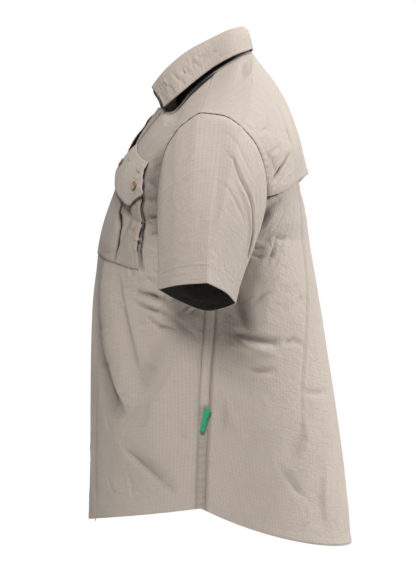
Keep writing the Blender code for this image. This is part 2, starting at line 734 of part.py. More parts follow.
def build_collar():
    at = stops(COLLAR_CELLS)
    neck, top, edge = (neck_line(at, column) for column in range(3))
    out = unit(np.cross(np.gradient(neck, axis=0), (0.0, 0.0, 1.0)))
    low = neck - out * STAND_INSET - np.array([0.0, 0.0, STAND_DROP])
    steps = np.linspace(0, 1, 4)[:, None, None]
    stand = low + (top - low) * steps
    stand = round_the_neck(stand)
    cloth_wall("collar_stand", stand)
    out = unit(np.cross(np.gradient(top, axis=0), (0.0, 0.0, 1.0)))
    start = top + np.array([0.0, 0.0, LEAF_RISE]) - out * CLOTH / 2
    chord = edge - start
    size = np.linalg.norm(chord, axis=1, keepdims=True)
    go = out * size * 0.75
    stop = chord * 1.1 + np.array([0.0, 0.0, -0.35]) * size
    t = np.linspace(1, 0, 7)[:, None, None]
    leaf = (
        start * (2 * t**3 - 3 * t**2 + 1)
        + go * (t**3 - 2 * t**2 + t)
        + edge * (3 * t**2 - 2 * t**3)
        + stop * (t**3 - t**2)
    )
    cloth_wall("collar_leaf", round_the_neck(leaf))


def main():
    for old in list(bpy.data.objects):
        bpy.data.objects.remove(old)
    for side in ("left", "right"):
        outer, normals = build_front(side)
        build_pocket(side, outer, normals)
        if side == "left":
            build_placket(outer, normals)
    build_yoke()
    build_back()
    build_sleeves()
    build_collar()


main()
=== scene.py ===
# %% [markdown]
# # A short-sleeve outdoor shirt, filled out as it is worn
#
# The frame is the rigid model: it gives the shirt its size and its mass. This lesson
# dresses it. Every cloth panel is cut flat as a grid, laid on its form, creased by
# hand in its own flat measure, and given a thickness. Metres, +Z up, front towards -Y.

# %% Load the frame
import math

import bmesh
import bpy
import numpy as np
from mathutils import Matrix, Vector


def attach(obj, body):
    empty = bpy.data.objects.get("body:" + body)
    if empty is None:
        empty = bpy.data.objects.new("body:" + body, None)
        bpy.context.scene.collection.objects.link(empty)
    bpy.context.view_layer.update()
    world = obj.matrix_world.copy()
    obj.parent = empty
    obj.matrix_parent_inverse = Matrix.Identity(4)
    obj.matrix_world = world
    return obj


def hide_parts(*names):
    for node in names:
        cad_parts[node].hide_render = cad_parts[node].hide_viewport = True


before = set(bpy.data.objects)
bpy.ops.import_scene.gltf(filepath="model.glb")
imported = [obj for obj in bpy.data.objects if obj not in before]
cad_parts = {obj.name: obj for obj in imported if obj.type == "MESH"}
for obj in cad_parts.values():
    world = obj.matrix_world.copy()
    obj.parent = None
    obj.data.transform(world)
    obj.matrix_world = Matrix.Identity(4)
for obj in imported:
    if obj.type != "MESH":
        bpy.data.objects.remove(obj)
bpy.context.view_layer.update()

scene = bpy.context.scene
scene.view_settings.view_transform = "Standard"

# %% [markdown]
# ## Camera
#
# The picture is a straight view of the shirt's left side. A long lens from 3.2 m keeps
# the near sleeve from growing. The lens is worked out from the picture's height.

# %% Set the camera
EYE = Vector((3.2, 0.0, -0.3))
METRES_PER_PIXEL = 0.0015
PICTURE_HEIGHT = 561
camera_data = bpy.data.cameras.new("side_camera")
camera_data.sensor_fit = "VERTICAL"
camera_data.sensor_height = 24.0
camera_data.lens = 24.0 * EYE.x / (PICTURE_HEIGHT * METRES_PER_PIXEL)
camera = bpy.data.objects.new("side_camera", camera_data)
camera.location = EYE
camera.rotation_euler = (math.radians(90), 0.0, math.radians(90))
scene.collection.objects.link(camera)
scene.camera = camera
print("lens:", round(camera_data.lens, 1), "mm")

# %% [markdown]
# ## Light and floor
#
# Three soft square lamps: a low one overhead, the strongest high behind the back, and
# one beside the camera. The paper round the set is white for the camera only, because
# light from all round would wash the folds out.

# %% Set the lamps, the floor and the paper
def soft_lamp(name, place, aim, size, power):
    lamp = bpy.data.lights.new(name, "AREA")
    lamp.shape = "SQUARE"
    lamp.size = size
    lamp.energy = power
    holder = bpy.data.objects.new(name, lamp)
    holder.location = place
    towards = Vector(aim) - Vector(place)
    holder.rotation_euler = towards.to_track_quat("-Z", "Y").to_euler()
    scene.collection.objects.link(holder)


soft_lamp("top_lamp", (0.2, 0.1, 2.3), (0.05, 0.0, -0.3), 1.0, 36)
soft_lamp("back_lamp", (-1.1, 2.7, 0.9), (0.05, 0.0, -0.3), 0.9, 122)
soft_lamp("camera_lamp", (2.7, -0.45, 1.4), (0.05, 0.0, -0.3), 0.8, 82)

air = bpy.data.worlds.new("studio_air")
scene.world = air
air.use_nodes = True
air.node_tree.nodes["Background"].inputs["Color"].default_value = (1.0, 1.0, 1.0, 1.0)
air.node_tree.nodes["Background"].inputs["Strength"].default_value = 0.09


def new_object(name, maker, *finishes):
    mesh = bpy.data.meshes.new(name)
    maker.to_mesh(mesh)
    maker.free()
    for finish in finishes:
        mesh.materials.append(finish)
    made = bpy.data.objects.new(name, mesh)
    scene.collection.objects.link(made)
    return made


def stage_piece(name, maker, colour, glow=0.0):
    stood = new_object(name, maker)
    paint = bpy.data.materials.new(name + "_paint")
    paint.use_nodes = True
    shader = paint.node_tree.nodes["Principled BSDF"]
    shader.inputs["Base Color"].default_value = colour
    shader.inputs["Roughness"].default_value = 0.9
    shader.inputs["Emission Color"].default_value = (1.0, 1.0, 1.0, 1.0)
    shader.inputs["Emission Strength"].default_value = glow
    stood.data.materials.append(paint)
    return stood


floor_maker = bmesh.new()
bmesh.ops.create_grid(floor_maker, x_segments=1, y_segments=1, size=1.6,
                      matrix=Matrix.Translation((0.0, 0.0, -1.05)))
stage_piece("floor", floor_maker, (0.90, 0.90, 0.90, 1))
paper_maker = bmesh.new()
bmesh.ops.create_icosphere(paper_maker, subdivisions=3, radius=14.0)
bmesh.ops.reverse_faces(paper_maker, faces=paper_maker.faces)
paper = stage_piece("paper", paper_maker, (0.0, 0.0, 0.0, 1), glow=1.0)
paper.visible_diffuse = False
paper.visible_glossy = False
paper.visible_transmission = False
paper.visible_shadow = False

# %% [markdown]
# ## Sizes and lines of the pattern
#
# The side seam, the armhole, the neck with its collar, the sleeve's hem and the rows
# across each panel are the lines of the frame. The flaps, further down, have sizes of
# their own, because they were moved to match the photograph. A row is a cubic curve
# from the near edge to the far one that holds a direction in plan at both ends.
# Row columns: near edge, plan angle there and at the far end in degrees, pull of each
# direction, and how steeply the row's rise begins and ends.

# %% Write the lines down
CLOTH = 0.0014
OVERLAP = 0.016
UNDERLAP = 0.0046
PLACKET_WIDTH = 0.032
PLACKET_RECESS = 0.0075
POCKET_START = 0.062
POCKET_WIDTH = 0.152

SIDE_SEAM = (
    (0.2000, -0.010, -0.6205),
    (0.1990, -0.009, -0.5750),
    (0.1990, -0.006, -0.4950),
    (0.2020, -0.002, -0.4180),
    (0.2080, 0.003, -0.3500),
    (0.2120, 0.005, -0.3060),
    (0.2150, 0.006, -0.2750),
    (0.2165, 0.006, -0.2430),
)
ARMPIT = len(SIDE_SEAM) - 1
ARMHOLE = (
    SIDE_SEAM[ARMPIT],
    (0.2040, -0.0450, -0.2150),
    (0.2000, -0.0620, -0.1800),
    (0.2030, -0.0643, -0.1420),
    (0.2080, -0.0580, -0.1140),
    (0.2130, -0.0470, -0.0960),
    (0.2160, -0.0400, -0.0868),
    (0.2205, -0.0270, -0.0765),
    (0.2250, -0.0120, -0.0675),
    (0.2258, 0.0060, -0.0685),
    (0.2255, 0.0250, -0.0720),
    (0.2240, 0.0450, -0.0860),
    (0.2205, 0.0670, -0.1116),
    (0.2160, 0.0770, -0.1380),
    (0.2135, 0.0755, -0.1833),
    (0.2120, 0.0620, -0.2080),
    (0.2140, 0.0400, -0.2320),
)
CAPE_STATION = 14
COLLAR = (
    ((0.026, -0.0715, -0.0430), (0.027, -0.0800, -0.0130), (0.080, -0.0650, -0.0465)),
    ((0.056, -0.0500, -0.0480), (0.049, -0.0565, 0.0130), (0.1000, -0.0430, -0.0300)),
    ((0.070, -0.0220, -0.0170), (0.063, -0.0280, 0.0355), (0.1000, -0.0165, -0.0085)),
    ((0.075, 0.0080, 0.0070), (0.066, 0.0030, 0.0520), (0.0945, 0.0100, 0.0120)),
    ((0.069, 0.0310, 0.0220), (0.0585, 0.0250, 0.0635), (0.0815, 0.0335, 0.0265)),
    ((0.040, 0.0565, 0.0370), (0.035, 0.0460, 0.0730), (0.0455, 0.0590, 0.0400)),
    ((0.0, 0.0650, 0.0420), (0.0, 0.0545, 0.0755), (0.0, 0.0670, 0.0465)),
)
NECK = tuple(row[0] for row in COLLAR)
CENTRE_BACK = len(NECK) - 1
FRONT_ROWS = (
    ((-OVERLAP, -0.1795, -0.6590), -3, 92, 1.30, 1.10, 1.0, 1.0),
    ((-OVERLAP, -0.1785, -0.6000), -3, 92, 1.30, 1.10, 1.0, 1.0),
    ((-OVERLAP, -0.1760, -0.5000), -3, 92, 1.30, 1.10, 1.0, 1.0),
    ((-OVERLAP, -0.1745, -0.4000), -3, 92, 1.30, 1.10, 1.0, 1.0),
    ((-OVERLAP, -0.1715, -0.3100), -3, 92, 1.35, 1.10, 1.0, 1.0),
    ((-OVERLAP, -0.1640, -0.2500), -3, 92, 1.40, 1.15, 1.0, 1.0),
    ((-OVERLAP, -0.1545, -0.2050), -3, 92, 1.42, 1.15, 1.0, 1.0),
    ((-OVERLAP, -0.1460, -0.1800), -3, 90, 1.42, 1.10, 1.0, 1.0),
    ((-OVERLAP, -0.1335, -0.1500), -3, 82, 1.40, 0.95, 1.0, 1.0),
    ((-OVERLAP, -0.1180, -0.1180), -2, 72, 1.25, 0.85, 1.0, 1.0),
    ((-0.009, -0.1030, -0.0870), 3, 55, 1.10, 0.80, 1.0, 1.0),
    ((0.012, -0.0865, -0.0640), 6, 35, 1.00, 0.85, 1.0, 1.0),
    (NECK[0], 8, 20, 1.00, 0.95, 1.0, 1.0),
    (NECK[1], 6, 12, 1.00, 0.95, 1.0, 1.0),
    (NECK[2], 0, 4, 1.00, 1.00, 1.0, 1.0),
    (NECK[3], -4, -8, 1.00, 1.00, 1.0, 1.0),
)
FRONT_CORNER = 12
YOKE_ROWS = (
    ((0.0, 0.1480, -0.1400), 0, -52, 1.10, 0.85, 0.2, 1.2),
    ((0.0, 0.1355, -0.0840), 0, -50, 1.10, 0.90, 0.3, 1.2),
    ((0.0, 0.1135, -0.0260), 0, -38, 1.05, 0.95, 0.4, 1.1),
    (NECK[6], 0, -22, 1.00, 0.95, 0.35, 1.0),
    (NECK[5], 4, -14, 1.00, 1.00, 1.0, 1.0),
    (NECK[4], 0, -10, 1.00, 1.00, 1.0, 1.0),
    (NECK[3], -4, -8, 1.00, 1.00, 1.0, 1.0),
)
YOKE_CORNER = 3
BACK_ROWS = (
    ((0.0, 0.2135, -0.6905), 0, -88, 1.25, 1.10, 0.0, 2.4),
    ((0.0, 0.2085, -0.6300), 0, -88, 1.25, 1.10, 0.0, 2.4),
    ((0.0, 0.1945, -0.5150), 0, -88, 1.25, 1.10, 0.0, 2.4),
    ((0.0, 0.1800, -0.4200), 0, -88, 1.25, 1.10, 0.0, 2.4),
    ((0.0, 0.1680, -0.3420), 0, -88, 1.25, 1.10, 0.0, 2.4),
    ((0.0, 0.1620, -0.3060), 0, -88, 1.25, 1.10, 0.0, 2.4),
    ((0.0, 0.1565, -0.2750), 0, -88, 1.25, 1.05, 0.0, 2.4),
    ((0.0, 0.1510, -0.2400), 0, -86, 1.25, 1.00, 0.0, 2.4),
    ((0.0, 0.1475, -0.2150), 0, -76, 1.20, 0.95, 0.0, 2.4),
    ((0.0, 0.1435, -0.1900), 0, -64, 1.15, 0.90, 0.0, 2.4),
    ((0.0, 0.1400, -0.1650), 0, -56, 1.10, 0.85, 0.0, 2.4),
    ((0.0, 0.1325, -0.1220), 0, -52, 1.10, 0.85, 0.0, 2.4),
)
SLEEVE_HEM = (
    (0.2270, -0.0030, -0.3420),
    (0.2530, -0.0420, -0.3270),
    (0.2850, -0.0670, -0.3125),
    (0.3255, -0.0400, -0.3065),
    (0.3600, -0.0010, -0.3035),
    (0.3315, 0.0230, -0.3160),
    (0.2960, 0.0370, -0.3305),
    (0.2600, 0.0225, -0.3375),
)
SLEEVE_MATCH = (0.0, 1.4, 2.8, 6.2, 9.6, 11.8, 13.7, 15.4, 17.0)
SLEEVE_LEAVE = ((0.040, -0.004, -0.080), (0.110, -0.030, -0.120),
                (0.150, 0.000, -0.085), (0.120, 0.020, -0.120))
SLEEVE_FALL = ((-0.010, -0.003, -0.095), (0.050, -0.006, -0.170),
               (0.060, 0.000, -0.190), (0.050, -0.030, -0.150))
MIRROR = np.array([-1.0, 1.0, 1.0])
SIDE_FLIP = {"left": np.array([1.0, 1.0, 1.0]), "right": MIRROR}
print("rows:", len(FRONT_ROWS), len(YOKE_ROWS), len(BACK_ROWS))

# %% [markdown]
# ## From lines to forms
#
# A smooth curve reads the points between the written ones. A fine grid over a panel
# comes from its rows, each cut at distances along it, so that a column keeps its place
# in the cloth. Its first number is metres across the cloth, and its second metres up.

# %% Read curves and spread panels
def unit(vectors):
    return vectors / np.maximum(np.linalg.norm(vectors, axis=-1, keepdims=True), 1e-12)


def smooth_step(x, low, high):
    t = np.clip((np.asarray(x, float) - low) / (high - low), 0, 1)
    return t * t * (3 - 2 * t)


def along_line(points):
    """Metres along a line of points, from its first one."""
    return np.concatenate([[0], np.cumsum(np.linalg.norm(np.diff(points, axis=0), axis=1))])


def read_table(at, places, table):
    """The three columns of a table whose rows stand at places, read at others."""
    return np.stack([np.interp(at, places, table[:, k]) for k in range(3)], -1)


def read_line(points, at, closed=False, corners=(), even=False):
    points = np.array(points, float)
    count = len(points)

    def segment(i):
        return points[(i + 1) % count] - points[i % count]

    def step(i):
        return 1.0 if even else np.linalg.norm(segment(i))

    def tangent(i, leaving):
        if (closed or 0 < i < count - 1) and i % count not in corners:
            before, after = step(i - 1), step(i)
            return (segment(i - 1) * after / before + segment(i) * before / after) / (before + after)
        own = i if (leaving or (i == 0 and not closed)) and (closed or i < count - 1) else i - 1
        return segment(own) / step(own)

    found = []
    for value in at:
        i = int(math.floor(value + 1e-9))
        i = i if closed else min(max(i, 0), count - 2)
        t, h = value - i, step(i)
        found.append(points[i % count] * (2 * t**3 - 3 * t**2 + 1)
                     + tangent(i, True) * h * (t**3 - 2 * t**2 + t)
                     + points[(i + 1) % count] * (3 * t**2 - 2 * t**3)
                     + tangent(i + 1, False) * h * (t**3 - t**2))
    return np.array(found).reshape(-1, points.shape[1])


def bend(start, go, end, stop, t):
    """Points of a cubic between start and end that leaves along go and arrives along stop."""
    return (start * (2 * t**3 - 3 * t**2 + 1) + go * (t**3 - 2 * t**2 + t)
            + end * (3 * t**2 - 2 * t**3) + stop * (t**3 - t**2))


def neck_line(stations, column=0):
    points = [np.array(row[column]) for row in COLLAR]
    return read_line(points + [points[-2] * MIRROR], stations)


def row_curve(start, end, shape):
    turn_start, turn_end, pull_start, pull_end, lift_start, lift_end = shape
    chord = end - start
    flat = math.hypot(chord[0], chord[1])
    a, b = math.radians(turn_start), math.radians(turn_end)
    go = np.array([math.cos(a) * flat * pull_start, math.sin(a) * flat * pull_start,
                   chord[2] * lift_start])
    stop = np.array([math.cos(b) * flat * pull_end, math.sin(b) * flat * pull_end,
                     chord[2] * lift_end])
    return bend(start, go, end, stop, np.linspace(0, 1, 160)[:, None])


def spread(rows, far_ends, at, places, corner=None, neck_station=None):
    """A panel's points for the row numbers in at, and each one's metres across."""
    starts = read_line([row[0] for row in rows], at, corners=() if corner is None else (corner,))
    if corner is not None:
        above = np.array(at) > corner
        starts[above] = neck_line([neck_station(value) for value in np.array(at)[above]])
    shapes = read_line([row[1:] for row in rows], at, even=True)
    lines, across = [], []
    for start, end, shape in zip(starts, far_ends(at), shapes):
        curve = row_curve(start, end, shape)
        along = along_line(curve)
        stops = places(along[-1])
        lines.append(read_table(stops, along, curve))
        across.append(stops)
    return np.array(lines), np.array(across)


def side_and_armhole(first_station, direction):
    def far_ends(at):
        found = []
        for value in at:
            if value <= ARMPIT:
                found.append(read_line(SIDE_SEAM, [value])[0])
            else:
                station = first_station + direction * (value - ARMPIT)
                found.append(read_line(ARMHOLE, [station], closed=True, corners=(0,))[0])
        return np.array(found)

    return far_ends


def normals_of(grid, closed=False):
    along = (np.roll(grid, -1, 1) - np.roll(grid, 1, 1)) if closed else np.gradient(grid, axis=1)
    return unit(np.cross(along, np.gradient(grid, axis=0)))


def metres_up(grid):
    """Each point's distance from the lowest row, along its own column."""
    steps = np.linalg.norm(np.diff(grid, axis=0), axis=2)
    return np.concatenate([np.zeros((1, grid.shape[1])), np.cumsum(steps, axis=0)])


def row_numbers(spans):
    """Row numbers with so many steps between each written row and the next."""
    found = [0.0]
    for row, count in enumerate(spans):
        found += [row + (k + 1) / count for k in range(count)]
    return np.array(found)


half_neck = neck_line(np.linspace(0, CENTRE_BACK, 60))
print("neck seam, half:", round(float(along_line(half_neck)[-1]), 3), "m")

# %% [markdown]
# ## Creases
#
# Worn cloth has a few deep soft troughs where it hangs from the chest and is squeezed
# under the arm, and many small ones between them. Each crease is a short path in the
# flat cloth with a half width and a depth, faded at both ends, with a low lip on each
# side because the cloth that sinks has to come from somewhere. Small crumples are
# strewn from a seeded list, so they are the same on every run but uneven in length,
# depth and spacing.

# %% Press creases into a flat measure
DEEPEN = 1.35


def crease(across, height, path, width, depth, lip=0.35):
    """How far one crease moves each point, along the cloth's outward side."""
    path = np.array(path, float)
    spans = np.linalg.norm(np.diff(path, axis=0), axis=1)
    total = spans.sum()
    nearest = np.full(across.shape, 1e9)
    share = np.zeros(across.shape)
    done = 0.0
    for a, b, span in zip(path[:-1], path[1:], spans):
        t = ((across - a[0]) * (b[0] - a[0]) + (height - a[1]) * (b[1] - a[1])) / span**2
        t = np.clip(t, 0, 1)
        away = np.hypot(across - a[0] - t * (b[0] - a[0]), height - a[1] - t * (b[1] - a[1]))
        closer = away < nearest
        nearest = np.where(closer, away, nearest)
        share = np.where(closer, (done + t * span) / total, share)
        done += span
    fade = 0.25 + 0.75 * np.sin(np.pi * np.clip(share, 0.0, 1.0)) ** 0.7
    x2 = (nearest / width) ** 2
    return depth * fade * np.exp(-x2) * (1 - 2 * lip * x2)


def fold(across, height, path, rise, wall, tail):
    """A fold: a sharp crest along the path, high on its left and a steep wall on its right."""
    path = np.array(path, float)
    spans = np.linalg.norm(np.diff(path, axis=0), axis=1)
    nearest = np.full(across.shape, 1e9)
    signed, share = np.zeros(across.shape), np.zeros(across.shape)
    done = 0.0
    for a, b, span in zip(path[:-1], path[1:], spans):
        go = (b - a) / span
        x, z = across - a[0], height - a[1]
        t = np.clip((x * go[0] + z * go[1]) / span, 0, 1)
        away = np.hypot(x - t * span * go[0], z - t * span * go[1])
        closer = away < nearest
        nearest = np.where(closer, away, nearest)
        signed = np.where(closer, np.where(z * go[0] - x * go[1] > 0, away, -away), signed)
        share = np.where(closer, (done + t * span) / spans.sum(), share)
        done += span
    down = 1 - (1 - np.clip(-signed / wall, 0, 1)) ** 2
    high = rise * (1 - smooth_step(signed, 0, tail))
    low = rise - 1.8 * rise * down + 0.8 * rise * smooth_step(-signed, wall, wall + tail)
    return np.where(signed > 0, high, low) * np.sin(np.pi * share) ** 0.7


def press(across, height, creases):
    moved = np.zeros(across.shape)
    for depth, width, path, *tail in creases:
        if tail:
            moved += fold(across, height, path, depth, width, tail[0])
        else:
            moved += crease(across, height, path, width, depth)
    return moved * DEEPEN


def strew(across, height, seed, count, low, high, turn, turn_spread, long, width, depth):
    """Small creases scattered over a stretch of flat cloth, mostly along one direction."""
    dice = np.random.default_rng(seed)
    moved = np.zeros(across.shape)
    for _ in range(count):
        a = dice.uniform(low[0], high[0])
        z = dice.uniform(low[1], high[1])
        way = math.radians(dice.normal(turn, turn_spread))
        half = 0.5 * dice.uniform(*long)
        step = np.array([math.cos(way), math.sin(way)]) * half
        bow = np.array([-step[1], step[0]]) * dice.uniform(-0.3, 0.3)
        middle = np.array([a, z])
        path = (middle - step, middle + bow, middle + step)
        moved += crease(across, height, path, dice.uniform(*width), dice.uniform(*depth))
    return moved * DEEPEN


origin = np.array([0.0])
sample = crease(origin, origin, ((-1, 0), (1, 0)), 0.01, -0.004)
print("one crease at its middle:", round(float(sample[0]), 4))

# %% [markdown]
# ## Cutting a panel
#
# A panel begins as a flat grid with squares of a few millimetres. Its flat measure is
# written in the UV map in metres, so the weave follows the cloth and not the room.
# Then each point takes its place on the form, and a Solidify modifier gives the
# thickness inwards. Where two halves meet at a centre line, the squares between them
# are taken out and the doubled points are joined, which leaves the neck open.
#
# Each point also carries a number by which the finish darkens. It is painted shade, in
# troughs and beside edges, from the depth of a crease or from a drawn line.

# %% Cut, shape and thicken
made_pieces = {}


def trough_shade(moved):
    """Painted shade for a trough, from its depth: how much light it keeps out, 0 none, 1 most."""
    return np.clip((-moved - 0.0014) / 0.0090, 0, 0.5)


def shadow_line(across, height, path, width, most=1.0):
    """Painted shadow: a dark line along a path, where an edge keeps the light off what is beside it."""
    return most * np.clip(crease(across, height, path, width, 1.0, lip=0.0) * 1.35, 0, 1)


def cut_panel(name, grid, flat, thick=0.0010, ring=False, halves=False,
              stands_for=(), finish=None, painted_shade=None, side="left"):
    if painted_shade is None:
        painted_shade = np.zeros(grid.shape[:2])
    if side == "right":
        grid, flat, painted_shade = to_right(grid), flat[:, ::-1], painted_shade[:, ::-1]
    rows, columns = grid.shape[:2]
    cutter = bmesh.new()
    bmesh.ops.create_grid(cutter, x_segments=columns - 1, y_segments=rows - 1, size=0.5)
    measure = cutter.loops.layers.uv.new("flat")
    # Each point's painted shade goes into a layer that the finish reads.
    shade = cutter.verts.layers.float.new("painted_shade")
    spots = [(round((v.co.y + 0.5) * (rows - 1)), round((v.co.x + 0.5) * (columns - 1)))
             for v in cutter.verts]
    cutter.verts.index_update()
    for vert, (r, c) in zip(cutter.verts, spots):
        vert.co = grid[r, c]
        vert[shade] = painted_shade[r, c]
    for face in cutter.faces:
        for loop in face.loops:
            loop[measure].uv = flat[spots[loop.vert.index]]
        face.smooth = True
    seam = []
    if halves:
        middle = columns // 2
        between = [f for f in cutter.faces
                   if {spots[v.index][1] for v in f.verts} == {middle - 1, middle}]
        seam = [v for v in cutter.verts if spots[v.index][1] in (middle - 1, middle)]
        bmesh.ops.delete(cutter, geom=between, context="FACES_ONLY")
    if ring:
        seam = [v for v in cutter.verts if spots[v.index][1] in (0, columns - 1)]
    if seam:
        bmesh.ops.remove_doubles(cutter, verts=seam, dist=1e-6)
    # The inner faces take the near-black finish: painted shade inside the shirt.
    piece = new_object(name, cutter, finish or cloth_finish, finish or painted_dark_inside)
    wall = piece.modifiers.new("thickness", "SOLIDIFY")
    wall.thickness = thick
    wall.offset = -1.0
    wall.material_offset = 1
    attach(piece, "root")
    if stands_for:
        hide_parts(*stands_for)
    made_pieces[name] = piece
    print(f"{name}: {len(piece.data.polygons)} squares")


def flat_measure(across, up):
    return np.stack([across, up], -1)


def to_right(grid):
    """The same piece for the right side, with its columns still anticlockwise."""
    return grid[:, ::-1] * MIRROR


# %% [markdown]
# ## Shader maths as expressions
#
# Small class, large saving: it wraps one socket, and + - * / and powers on it add the
# Math nodes. Every other node comes from one method.

# %% Wrap a socket
class Value:
    def __init__(self, shop, socket):
        self.shop = shop
        self.socket = socket

    def math(self, operation, *others):
        return self.shop.node("ShaderNodeMath", {"operation": operation},
                              dict(enumerate((self,) + others)))

    def __add__(self, other):
        return self.math("ADD", other)

    __radd__ = __add__

    def __mul__(self, other):
        return self.math("MULTIPLY", other)

    __rmul__ = __mul__

    def __sub__(self, other):
        return self.math("SUBTRACT", other)

    def __rsub__(self, other):
        return self.shop.node("ShaderNodeMath", {"operation": "SUBTRACT"}, {0: other, 1: self})

    def __truediv__(self, other):
        return self.math("DIVIDE", other)

    def __pow__(self, other):
        return self.math("POWER", other)

    def fraction(self):
        return self.math("FRACT")

    def size(self):
        return self.math("ABSOLUTE")

    def rise(self, low, high):
        """0 below low, 1 above high, smooth between."""
        return self.shop.node("ShaderNodeMapRange", {"interpolation_type": "SMOOTHSTEP"},
                              {"Value": self, "From Min": low, "From Max": high})


class Shop:
    """The node tree of one finish."""

    def __init__(self, name):
        self.material = bpy.data.materials.new(name)
        self.material.use_nodes = True
        self.tree = self.material.node_tree
        self.shader = self.tree.nodes["Principled BSDF"]

    def node(self, kind, settings=None, sockets=None, out=0):
        made = self.tree.nodes.new(kind)
        for setting, value in (settings or {}).items():
            setattr(made, setting, value)
        for key, value in (sockets or {}).items():
            self.feed(made.inputs[key], value)
        return Value(self, made.outputs[out])

    def feed(self, socket, value):
        if isinstance(value, Value):
            self.tree.links.new(value.socket, socket)
        else:
            socket.default_value = value

    def mix(self, share, first, second):
        return self.node("ShaderNodeMix", {"data_type": "RGBA"},
                         {0: share, 6: first, 7: second}, out=2)

    def measure(self):
        """The piece's own flat measure in metres: its two numbers, then both as one socket."""
        both = self.node("ShaderNodeUVMap", {"uv_map": "flat"})
        split = self.node("ShaderNodeSeparateXYZ", {}, {0: both})
        return split, Value(self, split.socket.node.outputs[1]), both

    def noise(self, where, scale, detail=2.0, rough=0.5):
        return self.node("ShaderNodeTexNoise", {"noise_dimensions": "3D"},
                         {"Vector": where, "Scale": scale, "Detail": detail, "Roughness": rough})

    def bump(self, height, distance, strength=1.0, after=None):
        sockets = {"Height": height, "Distance": distance, "Strength": strength}
        if after is not None:
            sockets["Normal"] = after
        return self.node("ShaderNodeBump", {}, sockets)

    def coat(self, colour, roughness, normal=None):
        """Feeds the shader and hands over the finish."""
        self.feed(self.shader.inputs["Base Color"], colour)
        self.feed(self.shader.inputs["Roughness"], roughness)
        if normal is not None:
            self.feed(self.shader.inputs["Normal"], normal)
        return self.material


print("expressions ready")

# %% [markdown]
# ## The cloth
#
# Light ripstop: a fine plain weave with a thicker thread every 5.4 mm both
# ways, which stands up as a faint grid and shows most where the light grazes it. The
# yarns are a little uneven in colour. Fine dents of 5 to 15 mm, which no crease in the
# mesh is small enough for, go into the bump.

# %% Weave the ripstop
RIB_PITCH = 0.0054
RIB_WIDTH = 0.0006
THREAD_PITCH = 0.0009


def weave(name, light, dark):
    shop = Shop(name)
    across, up, both = shop.measure()

    def ribs(number, pitch, width):
        from_middle = ((number / pitch).fraction() - 0.5).size() * pitch
        return 1.0 - from_middle.rise(width * 0.3, width)

    def drawn_out(scale, sockets):
        """Noise with its own scale along each way of the cloth."""
        where = shop.node("ShaderNodeMapping", {}, {"Vector": both, "Scale": scale})
        return shop.node("ShaderNodeTexNoise", {"noise_dimensions": "3D"},
                         {"Vector": where, "Scale": 1.0, **sockets})

    warp = ribs(across, RIB_PITCH, RIB_WIDTH)
    weft = ribs(up, RIB_PITCH, RIB_WIDTH)
    grid = warp.math("MAXIMUM", weft * 0.7)
    threads = ((across * (2 * math.pi / THREAD_PITCH)).math("SINE")
               * (up * (2 * math.pi / THREAD_PITCH)).math("SINE"))
    cloud = shop.noise(both, 9.0, 3.0, 0.55)
    slub = shop.noise(both, 420.0, 2.0, 0.6)
    dents = shop.noise(both, 75.0, 3.0, 0.55)
    ripples = drawn_out((60.0, 170.0, 1.0), {"Detail": 2.0, "Distortion": 0.6})
    crinkled = shop.noise(both, 7.0, 2.0, 0.5).rise(0.44, 0.62)
    bends = drawn_out((52.0, 24.0, 1.0), {"Detail": 3.0, "Roughness": 0.55, "Distortion": 0.9})
    crinkles = (1.0 - (bends - 0.5).size() * 13.0).math("MAXIMUM", 0.0) * crinkled
    shade = (cloud - 0.5) * 0.30 + (slub - 0.5) * 0.35 + 0.55 - grid * 0.30
    colour = shop.mix(shade.math("MAXIMUM", 0.0).math("MINIMUM", 1.0), dark, light)
    # Painted shade: the per-point number darkens the colour towards dark brown, and above 0.76 almost to
    # black, for slits and gaps.
    painted_shade = shop.node("ShaderNodeAttribute", {"attribute_name": "painted_shade"}, {}, out=2)
    colour = shop.mix(painted_shade * 0.92, colour, (0.055, 0.045, 0.037, 1))
    colour = shop.mix(painted_shade.rise(0.76, 0.86) * 0.95, colour, (0.010, 0.008, 0.007, 1))
    roughness = 0.74 + (slub - 0.5) * 0.2 - grid * 0.08
    fine = shop.bump(threads * 0.3 + grid * 0.6, 0.0003)
    soft = shop.bump(dents * 0.8 + ripples * 0.45 + crinkles * 0.17, 0.0034, 0.6, after=fine)
    shop.shader.inputs["Sheen Weight"].default_value = 0.10
    shop.shader.inputs["Sheen Roughness"].default_value = 0.45
    shop.shader.inputs["Specular IOR Level"].default_value = 0.28
    return shop.coat(colour, roughness, soft)


cloth_finish = weave("stone_ripstop", (0.520, 0.448, 0.388, 1), (0.385, 0.325, 0.274, 1))
# Painted shade: the inner faces get the same weave in near black, for the shade inside the shirt.
painted_dark_inside = weave("ripstop_inside_painted_shade", (0.030, 0.025, 0.021, 1), (0.019, 0.016, 0.014, 1))
print("cloth:", cloth_finish.name, "and", painted_dark_inside.name)


# %% [markdown]
# Thread is twisted yarn a shade lighter than the cloth. The buttons are turned from
# cloudy amber resin; their edge and their holes are painted dark, as their shade. The
# side tab is a close green tape.

# %% Finish the thread, the buttons and the tape
thread_shop = Shop("sewing_thread")
twist = thread_shop.noise(thread_shop.node("ShaderNodeTexCoord", {}, {}, out=3), 900.0)
thread_colour = thread_shop.mix(twist, (0.40, 0.34, 0.29, 1), (0.56, 0.49, 0.43, 1))
thread_finish = thread_shop.coat(thread_colour, 0.6 + twist * 0.2)

button_shop = Shop("amber_resin")
turned, rise_up, turned_both = button_shop.measure()
from_centre = (turned * turned + rise_up * rise_up) ** 0.5
